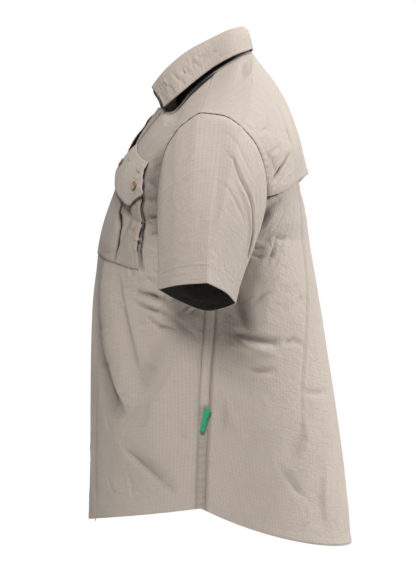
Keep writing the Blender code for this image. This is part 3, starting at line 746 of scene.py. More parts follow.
# Painted shade: past 4.4 mm from the centre the resin turns dark, on the thick edge and on the hole discs.
rim_and_hole_shade = from_centre.rise(0.0044, 0.0053)
streaks = button_shop.noise(turned_both, 330.0, 3.0, 0.6)
body_colour = button_shop.mix(streaks, (0.36, 0.19, 0.08, 1), (0.68, 0.42, 0.20, 1))
button_colour = button_shop.mix(rim_and_hole_shade * 0.85, body_colour, (0.055, 0.040, 0.030, 1))
button_shop.shader.inputs["Coat Weight"].default_value = 0.3
button_finish = button_shop.coat(button_colour, 0.28 + streaks * 0.12)

tape_shop = Shop("green_tape")
tape_across, tape_up, tape_both = tape_shop.measure()
tape_threads = ((tape_across * 9000.0).math("SINE") * (tape_up * 9000.0).math("SINE"))
tape_cloud = tape_shop.noise(tape_both, 500.0)
tape_colour = tape_shop.mix(tape_cloud, (0.003, 0.26, 0.11, 1), (0.012, 0.42, 0.20, 1))
tape_finish = tape_shop.coat(tape_colour, 0.5 + tape_cloud * 0.2, tape_shop.bump(tape_threads, 0.0001))
print("finishes:", [m.name for m in bpy.data.materials])

# %% [markdown]
# ## The two fronts
#
# A front is one panel from its edge to the side seam, with a narrow hem turned twice.
# The long trough that falls from the pocket's corner, the crumples where the sleeve's
# hem pushes the cloth, and the slanting creases above the hem are listed one by one. The
# right front carries other ones of the same kind.
# Crease columns: depth and half width in metres, path as across and height. A row with
# a fourth entry is a fold: its rise, the width of its wall, its path and its tail.
# Shadow columns: path, half width in metres, and how dark it is at most.

# %% Lay and crease the fronts
FRONT_SPANS = (20, 30, 30, 28, 20, 16, 9, 10, 10, 10, 9, 8, 10, 12, 10)
HEM_TURN = 0.009
HEM_RAISE = 0.0006
HEM_PUCKER = 0.00025
HEM_PUCKER_PITCH = 0.0065
SEAM_FROM, SEAM_FULL = 0.25, 0.30
FRONT_COLUMNS = 130
FRONT_CREASES = {
    "left": (
        (0.0075, 0.022, ((0.124, -0.262), (0.128, -0.310), (0.132, -0.350), (0.138, -0.382),
                         (0.150, -0.420)), 0.060),
        (0.0060, 0.016, ((0.136, -0.372), (0.150, -0.416), (0.168, -0.455), (0.190, -0.490)), 0.050),
        (-0.0030, 0.006, ((0.128, -0.436), (0.142, -0.456), (0.160, -0.478))),
        (0.0026, 0.007, ((0.176, -0.290), (0.188, -0.335), (0.200, -0.375), (0.212, -0.425)), 0.024),
        (0.0030, 0.0045, ((0.284, -0.610), (0.240, -0.578), (0.205, -0.556), (0.168, -0.536)), 0.034),
        (-0.0020, 0.0030, ((0.172, -0.537), (0.207, -0.554), (0.242, -0.577), (0.270, -0.598))),
        (-0.0042, 0.0055, ((0.206, -0.318), (0.232, -0.321), (0.262, -0.330))),
        (-0.0030, 0.0050, ((0.212, -0.336), (0.238, -0.343), (0.268, -0.352))),
        (0.0030, 0.0060, ((0.210, -0.327), (0.236, -0.332), (0.262, -0.340))),
        (-0.0030, 0.0045, ((0.226, -0.352), (0.246, -0.365), (0.272, -0.368))),
        (-0.0070, 0.012, ((0.226, -0.110), (0.235, -0.150), (0.240, -0.208), (0.243, -0.250))),
        (-0.0035, 0.0040, ((0.220, -0.214), (0.234, -0.212), (0.252, -0.216))),
        (-0.0030, 0.0040, ((0.226, -0.240), (0.236, -0.232), (0.252, -0.226))),
        (-0.0030, 0.0050, ((0.210, -0.135), (0.230, -0.128), (0.246, -0.130))),
        (-0.0028, 0.0050, ((0.212, -0.160), (0.230, -0.164), (0.248, -0.172))),
        (-0.0024, 0.0050, ((0.214, -0.186), (0.232, -0.190), (0.248, -0.197))),
        (-0.0016, 0.006, ((0.268, -0.352), (0.292, -0.372), (0.318, -0.392))),
        (0.0026, 0.030, ((0.296, -0.380), (0.262, -0.430), (0.232, -0.480), (0.222, -0.530)), 0.050),
        (-0.0022, 0.007, ((0.268, -0.515), (0.292, -0.525), (0.318, -0.528))),
        (-0.0022, 0.007, ((0.276, -0.545), (0.298, -0.552), (0.320, -0.553))),
        (0.0018, 0.014, ((0.060, -0.300), (0.066, -0.420), (0.064, -0.540))),
        (-0.0018, 0.014, ((0.088, -0.470), (0.092, -0.560), (0.104, -0.640))),
    ),
    "right": (
        (-0.0055, 0.018, ((0.108, -0.286), (0.116, -0.340), (0.126, -0.410))),
        (-0.0045, 0.013, ((0.126, -0.400), (0.148, -0.450), (0.178, -0.500))),
        (0.0028, 0.011, ((0.152, -0.390), (0.170, -0.450), (0.200, -0.505))),
        (-0.0028, 0.007, ((0.180, -0.310), (0.192, -0.360), (0.200, -0.415))),
        (-0.0035, 0.009, ((0.150, -0.520), (0.200, -0.560), (0.262, -0.592))),
        (0.0030, 0.012, ((0.150, -0.545), (0.205, -0.585), (0.262, -0.612))),
        (-0.0040, 0.0060, ((0.204, -0.310), (0.236, -0.316), (0.266, -0.328))),
        (-0.0030, 0.0050, ((0.210, -0.332), (0.240, -0.342), (0.266, -0.348))),
        (0.0028, 0.0060, ((0.208, -0.321), (0.236, -0.328), (0.262, -0.338))),
        (-0.0070, 0.012, ((0.226, -0.112), (0.236, -0.155), (0.240, -0.212))),
        (-0.0030, 0.0045, ((0.222, -0.205), (0.250, -0.212))),
        (-0.0026, 0.0050, ((0.212, -0.150), (0.246, -0.158))),
        (-0.0026, 0.0050, ((0.214, -0.176), (0.248, -0.186))),
        (-0.0030, 0.012, ((0.252, -0.410), (0.232, -0.470), (0.228, -0.530))),
        (-0.0022, 0.007, ((0.270, -0.505), (0.318, -0.516))),
        (-0.0020, 0.007, ((0.276, -0.560), (0.318, -0.566))),
        (0.0040, 0.028, ((0.070, -0.560), (0.076, -0.610), (0.080, -0.660))),
        (-0.0028, 0.014, ((0.110, -0.540), (0.116, -0.600), (0.120, -0.650))),
    ),
}
FRONT_SHADOWS = (
    (((0.212, -0.112), (0.228, -0.150), (0.234, -0.207), (0.238, -0.245)), 0.0165, 0.58),
    (((0.212, -0.140), (0.226, -0.137), (0.244, -0.146)), 0.0036, 0.72),
    (((0.214, -0.160), (0.230, -0.166), (0.246, -0.163)), 0.0050, 0.70),
    (((0.216, -0.186), (0.230, -0.183), (0.246, -0.193)), 0.0040, 0.72),
    (((0.2140, -0.176), (0.2100, -0.207), (0.2150, -0.244), (0.2200, -0.287)), 0.0024, 1.0),
    (((0.104, -0.275), (0.110, -0.320), (0.116, -0.360), (0.128, -0.400), (0.140, -0.430)), 0.0210, 0.58),
    (((0.122, -0.330), (0.127, -0.360), (0.138, -0.392), (0.147, -0.418)), 0.0045, 0.40),
    (((0.218, -0.214), (0.234, -0.211), (0.256, -0.216)), 0.0022, 0.85),
    (((0.226, -0.236), (0.238, -0.229), (0.254, -0.224)), 0.0020, 0.75),
)


def front_creases(across, height, side):
    moved = press(across, height, FRONT_CREASES[side])
    seed = 11 if side == "left" else 12
    moved += strew(across, height, seed, 60, (0.06, -0.64), (0.33, -0.28), 105, 26,
                   (0.020, 0.060), (0.0035, 0.0080), (-0.0011, 0.0007))
    moved += strew(across, height, seed + 20, 46, (0.19, -0.37), (0.33, -0.28), 10, 34,
                   (0.010, 0.034), (0.0026, 0.0050), (-0.0018, 0.0010))
    moved += strew(across, height, seed + 40, 26, (0.21, -0.27), (0.26, -0.10), 5, 24,
                   (0.012, 0.030), (0.0026, 0.0045), (-0.0018, 0.0010))
    return moved


def allowance(from_edge, along):
    """The seam's folded layers beside an armhole, 8 mm wide and slightly puckered."""
    band = 1 - smooth_step(from_edge, 0.0072, 0.0086)
    return band * (0.0010 + 0.0004 * np.sin(along * 2 * math.pi / 0.0085))


def under_the_leaf(points):
    """Painted shade where the collar's leaf stands off the neck: a band just below its edge is darkened."""
    stations = np.linspace(0.0, 3.2, 60)
    edge = neck_line(stations, 2)
    painted_shade = np.zeros(points.shape[:2])
    reach = 0.0115 * np.sin(np.pi * np.clip((stations - 0.25) / 2.7, 0, 1)) ** 0.7
    for place, far in zip(edge, reach):
        away = np.linalg.norm(points - place, axis=2)
        gap = away.min()
        if far > 0.001 and gap < 0.03:
            along = np.sqrt(np.maximum(away**2 - gap**2, 0))
            painted_shade = np.maximum(painted_shade, 1 - smooth_step(along, far * 0.80, far))
    return painted_shade


def on_side_seam(height):
    """1 below the armpit, where the side seam runs, and 0 above it."""
    return smooth_step(-height, SEAM_FROM, SEAM_FULL)


def turned_hem(up):
    """1 on the turned hem and 0 above it."""
    return 1 - smooth_step(up, HEM_TURN - 0.0008, HEM_TURN + 0.0004)


def hem_pucker(across):
    return HEM_PUCKER * np.sin(across * 2 * math.pi / HEM_PUCKER_PITCH)


def beside_seam(from_edge):
    """The groove along the felled side seam."""
    return -0.0020 * np.exp(-((from_edge - 0.0086) / 0.0022) ** 2)


def seam_shade(from_edge, height, width):
    """Painted shade: the dark line where the cloth goes in beside the felled seam."""
    line = 0.46 * np.exp(-((from_edge - 0.0078) / width) ** 2)
    return line * on_side_seam(height)


def front_form(side, at, places):
    """The outer face of a left-hand front with its creases, for either side's cloth."""
    grid, across = spread(FRONT_ROWS, side_and_armhole(0, 1), at, places,
                          FRONT_CORNER, lambda value: value - FRONT_CORNER)
    height = grid[:, :, 2]
    length = read_lengths(at)[:, None]
    moved = front_creases(across, height, side)
    moved *= smooth_step(length - across, 0.004, 0.03)
    moved *= smooth_step(across, PLACKET_WIDTH, PLACKET_WIDTH + 0.02)
    moved *= smooth_step(-height, 0.08, 0.12)
    moved += beside_seam(length - across) * on_side_seam(height)
    # Painted shade: the deeper troughs, the listed shadow lines, the band under the collar's leaf and the
    # line beside the felled seam darken the cloth's colour.
    painted_shade = trough_shade(moved)
    for path, width, most in FRONT_SHADOWS:
        painted_shade = np.maximum(painted_shade, shadow_line(across, height, path, width, most))
    painted_shade = np.maximum(painted_shade, under_the_leaf(grid))
    painted_shade = np.maximum(painted_shade, seam_shade(length - across, height, 0.0012))
    stiff = 1 - smooth_step(across, PLACKET_WIDTH * 0.7, PLACKET_WIDTH * 2.1)
    moved -= PLACKET_RECESS * stiff * smooth_step(-height, 0.10, 0.15)
    moved += allowance(length - across, height) * smooth_step(height, -0.235, -0.225)
    normals = normals_of(grid)
    grid = grid + normals * moved[:, :, None]
    if side == "right":
        near_edge = 1 - smooth_step(across, PLACKET_WIDTH, 0.075)
        stands_out = smooth_step(height, -0.145, -0.105) * (1 - smooth_step(height, -0.060, -0.035))
        grid[:, :, 1] -= 0.0115 * stands_out * (1 - smooth_step(across, 0.015, 0.060))
        parted = smooth_step(height, -0.070, -0.045)
        grid = grid - normals * (UNDERLAP * near_edge * (1 - parted))[:, :, None]
    normals = normals_of(grid)
    return grid + normals * CLOTH / 2, normals, across, painted_shade


def read_lengths(at):
    """How long the front's rows are."""
    _, across = spread(FRONT_ROWS, side_and_armhole(0, 1), at,
                       lambda length: np.array([length]), FRONT_CORNER,
                       lambda value: value - FRONT_CORNER)
    return across[:, 0]


def even_places(count, inset=0.0):
    return lambda length: np.linspace(0.0, length - inset, count)


front_at = row_numbers(FRONT_SPANS)
front_faces = {}
for side in ("left", "right"):
    face, away, across, painted_shade = front_form(side, front_at, even_places(FRONT_COLUMNS))
    up = metres_up(face)
    pucker = hem_pucker(across) * smooth_step(up, 0.002, HEM_TURN)
    face = face + away * (turned_hem(up) * (HEM_RAISE + pucker))[:, :, None]
    front_faces[side] = (face, away, across, up)
    cut_panel(f"cloth_front_{side}", face, flat_measure(across, up), stands_for=(f"front_{side}",),
              painted_shade=painted_shade, side=side)

# %% [markdown]
# ## Placket
#
# The band down the overlapping edge is two more layers, stitched down both sides. It
# is cut as its own strip and laid on the front, so its edges stand up by its
# thickness. Between the buttons it gives a little.

# %% Lay the placket
PLACKET_TOP_ROW = 12
PLACKET_THICK = 0.0012


def on_front(side, at, places, rise=0.0003):
    face, away, across, _ = front_form(side, at, places)
    return face + away * rise, away, across


placket_at = front_at[front_at <= PLACKET_TOP_ROW]
strip, strip_away, strip_across = on_front(
    "left", placket_at, lambda length: np.linspace(0.0, PLACKET_WIDTH, 15))
strip_up = metres_up(strip)
edge_away = np.minimum(strip_across, PLACKET_WIDTH - strip_across)
plump = 0.0005 * smooth_step(edge_away, 0.0, 0.004)
dips = 0.0004 * np.sin(strip_up * 2 * math.pi / 0.087) * smooth_step(edge_away, 0.0, 0.006)
strip_band = strip + strip_away * (PLACKET_THICK + plump + dips)[:, :, None]
cut_panel("cloth_placket", strip_band, flat_measure(strip_across, strip_up),
          thick=PLACKET_THICK, stands_for=("placket",))

# %% [markdown]
# ## Chest pockets
#
# Each patch pocket is sewn down its front side and along its bottom, with a raised
# pleat. Its rear side stands off the shirt on a gusset, and the dark under it is painted
# shade on the front, as is the dark along the pleat's edge and under the flap on the
# pocket. The pocket's edge and the pleat's edge are wavy. The flap is a double
# piece with a pointed lower edge, fastened by two buttons.

# %% Lay the pockets
POCKET_ROWS = (5, 10)
POCKET_THICK = 0.0012
POCKET_COLUMNS = 64
POCKET_LINES = 62


def pocket_places(count, beyond=0.0):
    def places(length):
        squeeze = min(1.0, 0.86 * length / (POCKET_START + POCKET_WIDTH))
        start = POCKET_START * (0.4 + 0.6 * squeeze)
        end = (POCKET_START + POCKET_WIDTH) * squeeze + beyond
        return np.linspace(start, end, count)

    return places


POCKET_SLIT = ((0.156, -0.178), (0.150, -0.203), (0.162, -0.223), (0.165, -0.247), (0.160, -0.272))
POCKET_CREASES = (
    (-0.0016, 0.007, ((POCKET_START + 0.030, 0.115), (POCKET_START + 0.045, 0.060),
                      (POCKET_START + 0.040, 0.020))),
    (-0.0014, 0.006, ((POCKET_START + 0.110, 0.110), (POCKET_START + 0.120, 0.060),
                      (POCKET_START + 0.105, 0.015))),
    (-0.0012, 0.005, ((POCKET_START + 0.120, 0.060), (POCKET_START + 0.142, 0.048))),
)
pocket_at = np.linspace(POCKET_ROWS[0], POCKET_ROWS[1] - 0.4, POCKET_LINES)
pocket_faces = {}
for side, phase in (("left", 0.0), ("right", 1.9)):
    points, away, across = on_front(side, pocket_at, pocket_places(POCKET_COLUMNS), 0.0004)
    up = metres_up(points)
    share = np.linspace(0, 1, POCKET_COLUMNS)[None, :]
    height = np.linspace(0, 1, POCKET_LINES)[:, None]
    sewn = smooth_step(share, 0.0, 0.10) * smooth_step(height, 0.0, 0.12)
    wave = np.sin(height * 7.0 + phase) * 0.5 + np.sin(height * 13.0 + 1.0 + phase) * 0.3
    gusset = 0.0062 * smooth_step(share, 0.72, 1.0) * smooth_step(height, 0.02, 0.25) * (1 + 0.35 * wave)
    pleat = 0.0032 * (smooth_step(share, 0.30, 0.33) - smooth_step(share, 0.590, 0.615))
    pleat = pleat * smooth_step(height, 0.04, 0.40) * (1 + 0.35 * wave)
    swell = 0.0026 * np.sin(np.pi * share) ** 0.6 * sewn
    slump = press(across, up, POCKET_CREASES)
    slump += strew(across, up, 71 if side == "left" else 72, 40, (POCKET_START, 0.0),
                   (POCKET_START + POCKET_WIDTH, 0.13), 95, 30, (0.012, 0.035),
                   (0.0025, 0.0048), (-0.0014, 0.0006))
    # Painted shade: a dark line along the pleat's edge, which also presses that edge in; then the troughs,
    # a slight darkening of the whole pocket, and more on its upper part, under the flap.
    pocket_shade = shadow_line(across, points[:, :, 2], POCKET_SLIT, 0.0030)
    lift = POCKET_THICK + swell + pleat + gusset + slump * sewn - 0.0030 * pocket_shade
    pocket_shade = np.maximum(pocket_shade, trough_shade(slump * 1.5) + 0.10 + 0.16 * smooth_step(height, 0.40, 0.66))
    ripple = 0.0016 * wave * smooth_step(share, 0.85, 1.0)
    sideways = unit(np.gradient(points, axis=1))
    points = points + away * lift[:, :, None] + sideways * ripple[:, :, None]
    pocket_faces[side] = (points, away)
    cut_panel(f"cloth_pocket_{side}", points, flat_measure(across, up + 0.003), thick=0.0011,
              stands_for=(f"pocket_{side}",), painted_shade=pocket_shade, side=side)

# %% [markdown]
# The flap hangs from its seam, so its depth is measured down from there: less at the
# two sides and most at the point. It leans out over the pocket.

# %% Lay the flaps
FLAP_FRONT = 0.049
FLAP_REAR = 0.046
FLAP_POINT = 0.072
FLAP_POINT_PLACE = 0.66
FLAP_OUT = 0.0102
FLAP_BUTTONS = {"front": (-0.72, 0.60), "rear": (0.80, 0.66)}
flap_faces = {}


def lay_flap(side, columns=60, steps=32):
    at = np.linspace(POCKET_ROWS[0], POCKET_ROWS[1], 90)
    points, away, across = on_front(side, at, pocket_places(columns, beyond=0.004), 0.0004)
    points, away = points[::-1], away[::-1]
    steps_down = np.linalg.norm(np.diff(points, axis=0), axis=2).mean(axis=1)
    drop = np.concatenate([[0], np.cumsum(steps_down)])
    place = np.linspace(-1, 1, columns)
    beside = place - FLAP_POINT_PLACE
    corner = np.where(beside < 0, FLAP_FRONT, FLAP_REAR)
    share = np.abs(beside) / np.where(beside < 0, 1 + FLAP_POINT_PLACE, 1 - FLAP_POINT_PLACE)
    depth = FLAP_POINT - (FLAP_POINT - corner) * np.sqrt(share**2 + 0.012)
    down = np.linspace(0, 1, steps)
    grid = np.zeros((steps, columns, 3))
    normals = np.zeros_like(grid)
    for c in range(columns):
        grid[:, c] = read_table(down * depth[c], drop, points[:, c])
        normals[:, c] = read_table(down * depth[c], drop, away[:, c])
    normals = unit(normals)
    lean = 1 - (1 - down[:, None]) ** 2
    wavy = 0.0007 * np.sin(place[None, :] * 5.0 + 0.6) * down[:, None]
    lift = 0.0030 + FLAP_OUT * lean * (0.80 + 0.20 * smooth_step(place, -1.0, 0.9))[None, :] + wavy
    rearwards = unit(np.gradient(grid, axis=1))
    swing = 0.0062 * down[:, None] * smooth_step(place, -0.2, 1.0)[None, :]
    grid = grid + normals * lift[:, :, None] + rearwards * swing[:, :, None]
    flat = flat_measure(np.broadcast_to(across[-1][None, :], (steps, columns)),
                        -down[:, None] * depth[None, :])
    return grid[::-1], normals[::-1], flat[::-1]


for side in ("left", "right"):
    grid, away, flat = lay_flap(side)
    flap_faces[side] = (grid, away)
    cut_panel(f"cloth_flap_{side}", grid, flat, thick=0.0017, stands_for=(f"flap_{side}",), side=side)

# %% [markdown]
# ## Yoke and cape
#
# One piece goes over both shoulders and down the back as a cape. It is sewn to the
# fronts, the neck and the armholes, but its lower edge is free and only tacked, so
# beside each armhole it lifts off the back; the dark line below it is painted shadow on
# the back. Both halves are measured from the centre back, to the left as plus and to
# the right as minus, so the creases of one half needn't be those of the other.

# %% Lay the yoke
YOKE_SPANS = (26, 20, 22, 12, 12, 12)
YOKE_CREASES = (
    (-0.0030, 0.0042, ((0.230, 0.014), (0.200, 0.032), (0.164, 0.046))),
    (0.0016, 0.008, ((0.232, 0.034), (0.206, 0.056), (0.176, 0.080))),
    (-0.0014, 0.0045, ((0.232, 0.050), (0.215, 0.058), (0.190, 0.062))),
    (-0.0014, 0.0040, ((0.236, 0.070), (0.222, 0.050), (0.214, 0.024))),
    (-0.0014, 0.0045, ((0.226, 0.090), (0.200, 0.092), (0.176, 0.112))),
    (-0.0018, 0.008, ((0.150, 0.020), (0.140, 0.070), (0.118, 0.115))),
    (-0.0020, 0.010, ((0.100, 0.010), (0.088, 0.060), (0.060, 0.110))),
    (-0.0022, 0.009, ((-0.236, 0.028), (-0.208, 0.048), (-0.176, 0.066))),
    (0.0026, 0.010, ((-0.230, 0.046), (-0.198, 0.070), (-0.168, 0.094))),
    (-0.0018, 0.009, ((-0.140, 0.018), (-0.132, 0.068), (-0.106, 0.118))),
    (-0.0018, 0.012, ((-0.050, 0.012), (-0.042, 0.060), (-0.030, 0.100))),
    (-0.0016, 0.012, ((0.030, 0.020), (0.034, 0.070), (0.026, 0.110))),
    (-0.0018, 0.006, ((0.030, 0.240), (0.060, 0.218), (0.090, 0.196))),
    (-0.0016, 0.006, ((-0.034, 0.236), (-0.064, 0.214), (-0.088, 0.196))),
)
LIFT_FROM = 0.145
YOKE_COLUMNS = 96


def yoke_ends(at):
    return read_line(ARMHOLE, [CAPE_STATION - value for value in at], closed=True, corners=(0,))


yoke_at = row_numbers(YOKE_SPANS)
half, across = spread(YOKE_ROWS, yoke_ends, yoke_at, even_places(YOKE_COLUMNS, 0.0002), YOKE_CORNER,
                      lambda value: CENTRE_BACK - value + YOKE_CORNER)
joined = int(np.searchsorted(yoke_at, YOKE_CORNER)) + 1


def two_halves(left, right):
    """A whole panel, from the left side through the centre to the right side."""
    return np.concatenate([left[:, ::-1], right], axis=1)


def open_out(half, across, joined):
    """A whole panel: points, outward directions, and metres across, up and from the far edge."""
    away = -normals_of(half)
    away[:joined, 0, 0] = 0.0
    away = unit(away)
    up = metres_up(half)
    far = across[:, -1:] - across
    return (two_halves(half, half * MIRROR), two_halves(away, away * MIRROR),
            two_halves(across, -across), two_halves(up, up), two_halves(far, far))


whole, whole_away, whole_across, whole_up, far = open_out(half, across, joined)
moved = press(whole_across, whole_up, YOKE_CREASES)
moved += strew(whole_across, whole_up, 31, 60, (-0.24, 0.01), (0.24, 0.19), 115, 40,
               (0.016, 0.050), (0.0035, 0.0075), (-0.0011, 0.0008))
moved *= smooth_step(far, 0.003, 0.022) * smooth_step(whole_up, 0.002, 0.02)
# Painted shade: the yoke is darkened just below the collar's leaf and in its deeper troughs.
leaf_shade = np.maximum(under_the_leaf(whole), under_the_leaf(whole * MIRROR))
painted_shade = np.maximum(trough_shade(moved), leaf_shade)
free_edge = 1 - smooth_step(whole_up, 0.0, 0.034)
lifted = smooth_step(np.abs(whole_across), LIFT_FROM, 0.205) * smooth_step(far, 0.0, 0.014)
moved += 0.0045 * lifted * free_edge
moved += allowance(far, whole_up) * smooth_step(whole_up, 0.01, 0.02)
moved += 0.0012 * free_edge * np.sin(whole_across * 38.0 + 0.8)
hem = 1 - smooth_step(whole_up, 0.0072, 0.0082)
moved += 0.0005 * hem + CLOTH / 2 + 0.0006 * smooth_step(whole_up, 0.20, 0.22)
yoke_face = whole + whole_away * moved[:, :, None]
yoke_away, yoke_across, yoke_up = whole_away, whole_across, whole_up
cut_panel("cloth_yoke", yoke_face, flat_measure(whole_across, whole_up), halves=True,
          thick=0.0009, stands_for=("yoke",), painted_shade=painted_shade)

# %% [markdown]
# ## Back
#
# The back hangs from under the cape with a pressed pleat on each side of the middle,
# and ends in a long rounded tail. The sleeve pushes it in behind the arm.

# %% Lay the back
BACK_SPANS = (18, 30, 26, 22, 11, 10, 11, 8, 8, 8, 13)
BACK_CREASES = (
    (-0.0052, 0.0105, ((0.240, -0.232), (0.222, -0.214), (0.206, -0.198), (0.186, -0.184))),
    (0.0011, 0.0040, ((0.210, -0.308), (0.190, -0.287), (0.157, -0.240), (0.150, -0.196))),
    (0.0008, 0.0034, ((0.186, -0.300), (0.170, -0.276), (0.152, -0.236))),
    (-0.0030, 0.0080, ((0.256, -0.306), (0.250, -0.325), (0.244, -0.345), (0.236, -0.372))),
    (-0.0048, 0.0060, ((0.262, -0.372), (0.236, -0.380), (0.210, -0.386), (0.190, -0.388))),
    (0.0036, 0.0080, ((0.262, -0.388), (0.232, -0.398), (0.200, -0.402))),
    (-0.0030, 0.0060, ((0.238, -0.424), (0.222, -0.428), (0.202, -0.428))),
    (-0.0024, 0.0055, ((0.178, -0.388), (0.156, -0.386), (0.134, -0.394))),
    (-0.0024, 0.0042, ((0.234, -0.334), (0.216, -0.323), (0.194, -0.313))),
    (-0.0020, 0.0040, ((0.222, -0.318), (0.206, -0.309), (0.192, -0.300))),
    (-0.0024, 0.0042, ((0.230, -0.248), (0.220, -0.254), (0.206, -0.255))),
    (-0.0020, 0.0040, ((0.232, -0.262), (0.218, -0.266), (0.208, -0.264))),
    (-0.0016, 0.0040, ((0.206, -0.276), (0.190, -0.262), (0.180, -0.246))),
    (-0.0016, 0.0040, ((0.194, -0.262), (0.182, -0.246), (0.172, -0.232))),
    (0.0022, 0.010, ((0.244, -0.530), (0.262, -0.500), (0.276, -0.468), (0.296, -0.440)), 0.050),
    (0.0020, 0.010, ((0.196, -0.574), (0.168, -0.556), (0.152, -0.530), (0.150, -0.500)), 0.040),
    (0.0018, 0.010, ((0.128, -0.660), (0.124, -0.610), (0.110, -0.560)), 0.040),
    (-0.0014, 0.007, ((0.210, -0.560), (0.180, -0.600), (0.150, -0.625))),
    (-0.0016, 0.006, ((0.150, -0.460), (0.110, -0.465), (0.070, -0.462))),
    (-0.0070, 0.018, ((-0.230, -0.200), (-0.212, -0.245), (-0.206, -0.300))),
    (-0.0044, 0.0065, ((-0.258, -0.360), (-0.226, -0.372), (-0.188, -0.376))),
    (0.0032, 0.0080, ((-0.255, -0.377), (-0.222, -0.389), (-0.186, -0.392))),
    (-0.0028, 0.0060, ((-0.224, -0.296), (-0.204, -0.318), (-0.180, -0.324))),
    (-0.0026, 0.0050, ((-0.222, -0.222), (-0.190, -0.236), (-0.158, -0.248))),
    (-0.0034, 0.010, ((-0.292, -0.450), (-0.268, -0.490), (-0.246, -0.535))),
    (-0.0028, 0.008, ((-0.148, -0.510), (-0.160, -0.552), (-0.196, -0.584))),
    (-0.0026, 0.010, ((-0.060, -0.480), (-0.050, -0.560), (-0.066, -0.640))),
    (-0.0026, 0.010, ((0.030, -0.420), (0.020, -0.520), (0.034, -0.600))),
    (-0.0020, 0.009, ((-0.110, -0.420), (-0.070, -0.440), (-0.030, -0.436))),
)
BACK_SHADOWS = (
    (((0.252, -0.205), (0.236, -0.216), (0.216, -0.206), (0.198, -0.194)), 0.0120, 0.50),
    (((0.254, -0.215), (0.252, -0.260), (0.256, -0.300)), 0.0110, 0.42),
    (((0.262, -0.300), (0.252, -0.326), (0.244, -0.350), (0.234, -0.370)), 0.0095, 0.53),
    (((0.264, -0.340), (0.268, -0.380)), 0.0140, 0.30),
)
BACK_PLEATS = (
    ((0.096, -0.150), (0.090, -0.210), (0.089, -0.270), (0.104, -0.330), (0.124, -0.391),
     (0.146, -0.462), (0.152, -0.510)),
    ((-0.094, -0.150), (-0.089, -0.210), (-0.092, -0.280), (-0.108, -0.345), (-0.128, -0.410),
     (-0.146, -0.480)),
)
CAPE_CLEAR = 0.0030
BACK_COLUMNS = 104


def back_moves(across, height, far):
    moved = press(across, height, BACK_CREASES)
    moved += strew(across, height, 51, 110, (-0.29, -0.66), (0.29, -0.20), 100, 28,
                   (0.020, 0.060), (0.0035, 0.0080), (-0.0011, 0.0007))
    moved += strew(across, height, 52, 60, (0.15, -0.35), (0.27, -0.19), 150, 26,
                   (0.012, 0.036), (0.0024, 0.0044), (-0.0012, 0.0007))
    moved += strew(across, height, 53, 50, (-0.27, -0.35), (-0.15, -0.19), 30, 26,
                   (0.012, 0.036), (0.0026, 0.0050), (-0.0018, 0.0010))
    moved *= smooth_step(far, 0.004, 0.03) * smooth_step(-height, 0.17, 0.21)
    for path in BACK_PLEATS:
        side = 1.0 if path[0][0] > 0 else -1.0
        moved += crease(across, height, path, 0.0030, 0.0016, lip=0.2)
        shifted = tuple((a + side * 0.006, z) for a, z in path)
        moved += crease(across, height, shifted, 0.0050, -0.0022, lip=0.1)
    return moved


back_at = row_numbers(BACK_SPANS)
half, across = spread(BACK_ROWS, side_and_armhole(len(ARMHOLE), -1), back_at, even_places(BACK_COLUMNS))
whole, whole_away, whole_across, whole_up, far = open_out(half, across, len(half))
height = whole[:, :, 2]
aside = np.abs(whole_across)
moved = back_moves(whole_across, height, far)
moved += beside_seam(far) * 1.6 * on_side_seam(height)
# Painted shadow: the back is darkened in its deeper troughs, up under the cape and a little below its edge,
# more towards the armholes, beside the felled seam, and along the listed lines behind the sleeves.
painted_shade = trough_shade(moved)
left_half = slice(yoke_face.shape[1] // 2 - 1, None, -1)
cape_shadow_edge = np.interp(aside, yoke_across[0, left_half], yoke_face[0, left_half, 2])
cape_shadow_edge -= 0.0050 * smooth_step(aside, 0.146, 0.160)
cape_shadow_edge -= 0.0030 * smooth_step(aside, 0.160, 0.235)
painted_shade = np.maximum(painted_shade, smooth_step(height - cape_shadow_edge, -0.0004, 0.0014))
painted_shade = np.maximum(painted_shade, seam_shade(far, height, 0.0024))
for path, width, most in BACK_SHADOWS:
    painted_shade = np.maximum(painted_shade, shadow_line(aside, height, path, width, most))
moved -= CAPE_CLEAR * smooth_step(back_at, ARMPIT + 2, ARMPIT + 3)[:, None]
moved += turned_hem(whole_up) * (HEM_RAISE + hem_pucker(whole_across)) + CLOTH / 2
back_face = whole + whole_away * moved[:, :, None]
back_measure = (whole_across, whole_up, whole_away)
cut_panel("cloth_back", back_face, flat_measure(whole_across, whole_up), halves=True,
          stands_for=("back",), painted_shade=painted_shade)

# %% [markdown]
# ## Side seams
#
# The side seam is felled: the edges are folded over each other and sewn flat, which
# makes a raised band 13 mm wide down to the tab. Below the tab the band is left soft
# and puckers. It is a strip across the meeting of front and back, taken from both.

# %% Fell the side seams
FELL = 0.0066
TAB_HEIGHT = -0.4760
SEAM_COLUMNS = 12
seam_faces = {}


def column_at(face, measure, distance):
    """Points of a face at one distance across, row by row."""
    found = np.zeros((len(face), 3))
    for r in range(len(face)):
        order = np.argsort(measure[r])
        found[r] = read_table(distance[r], measure[r][order], face[r][order])
    return found


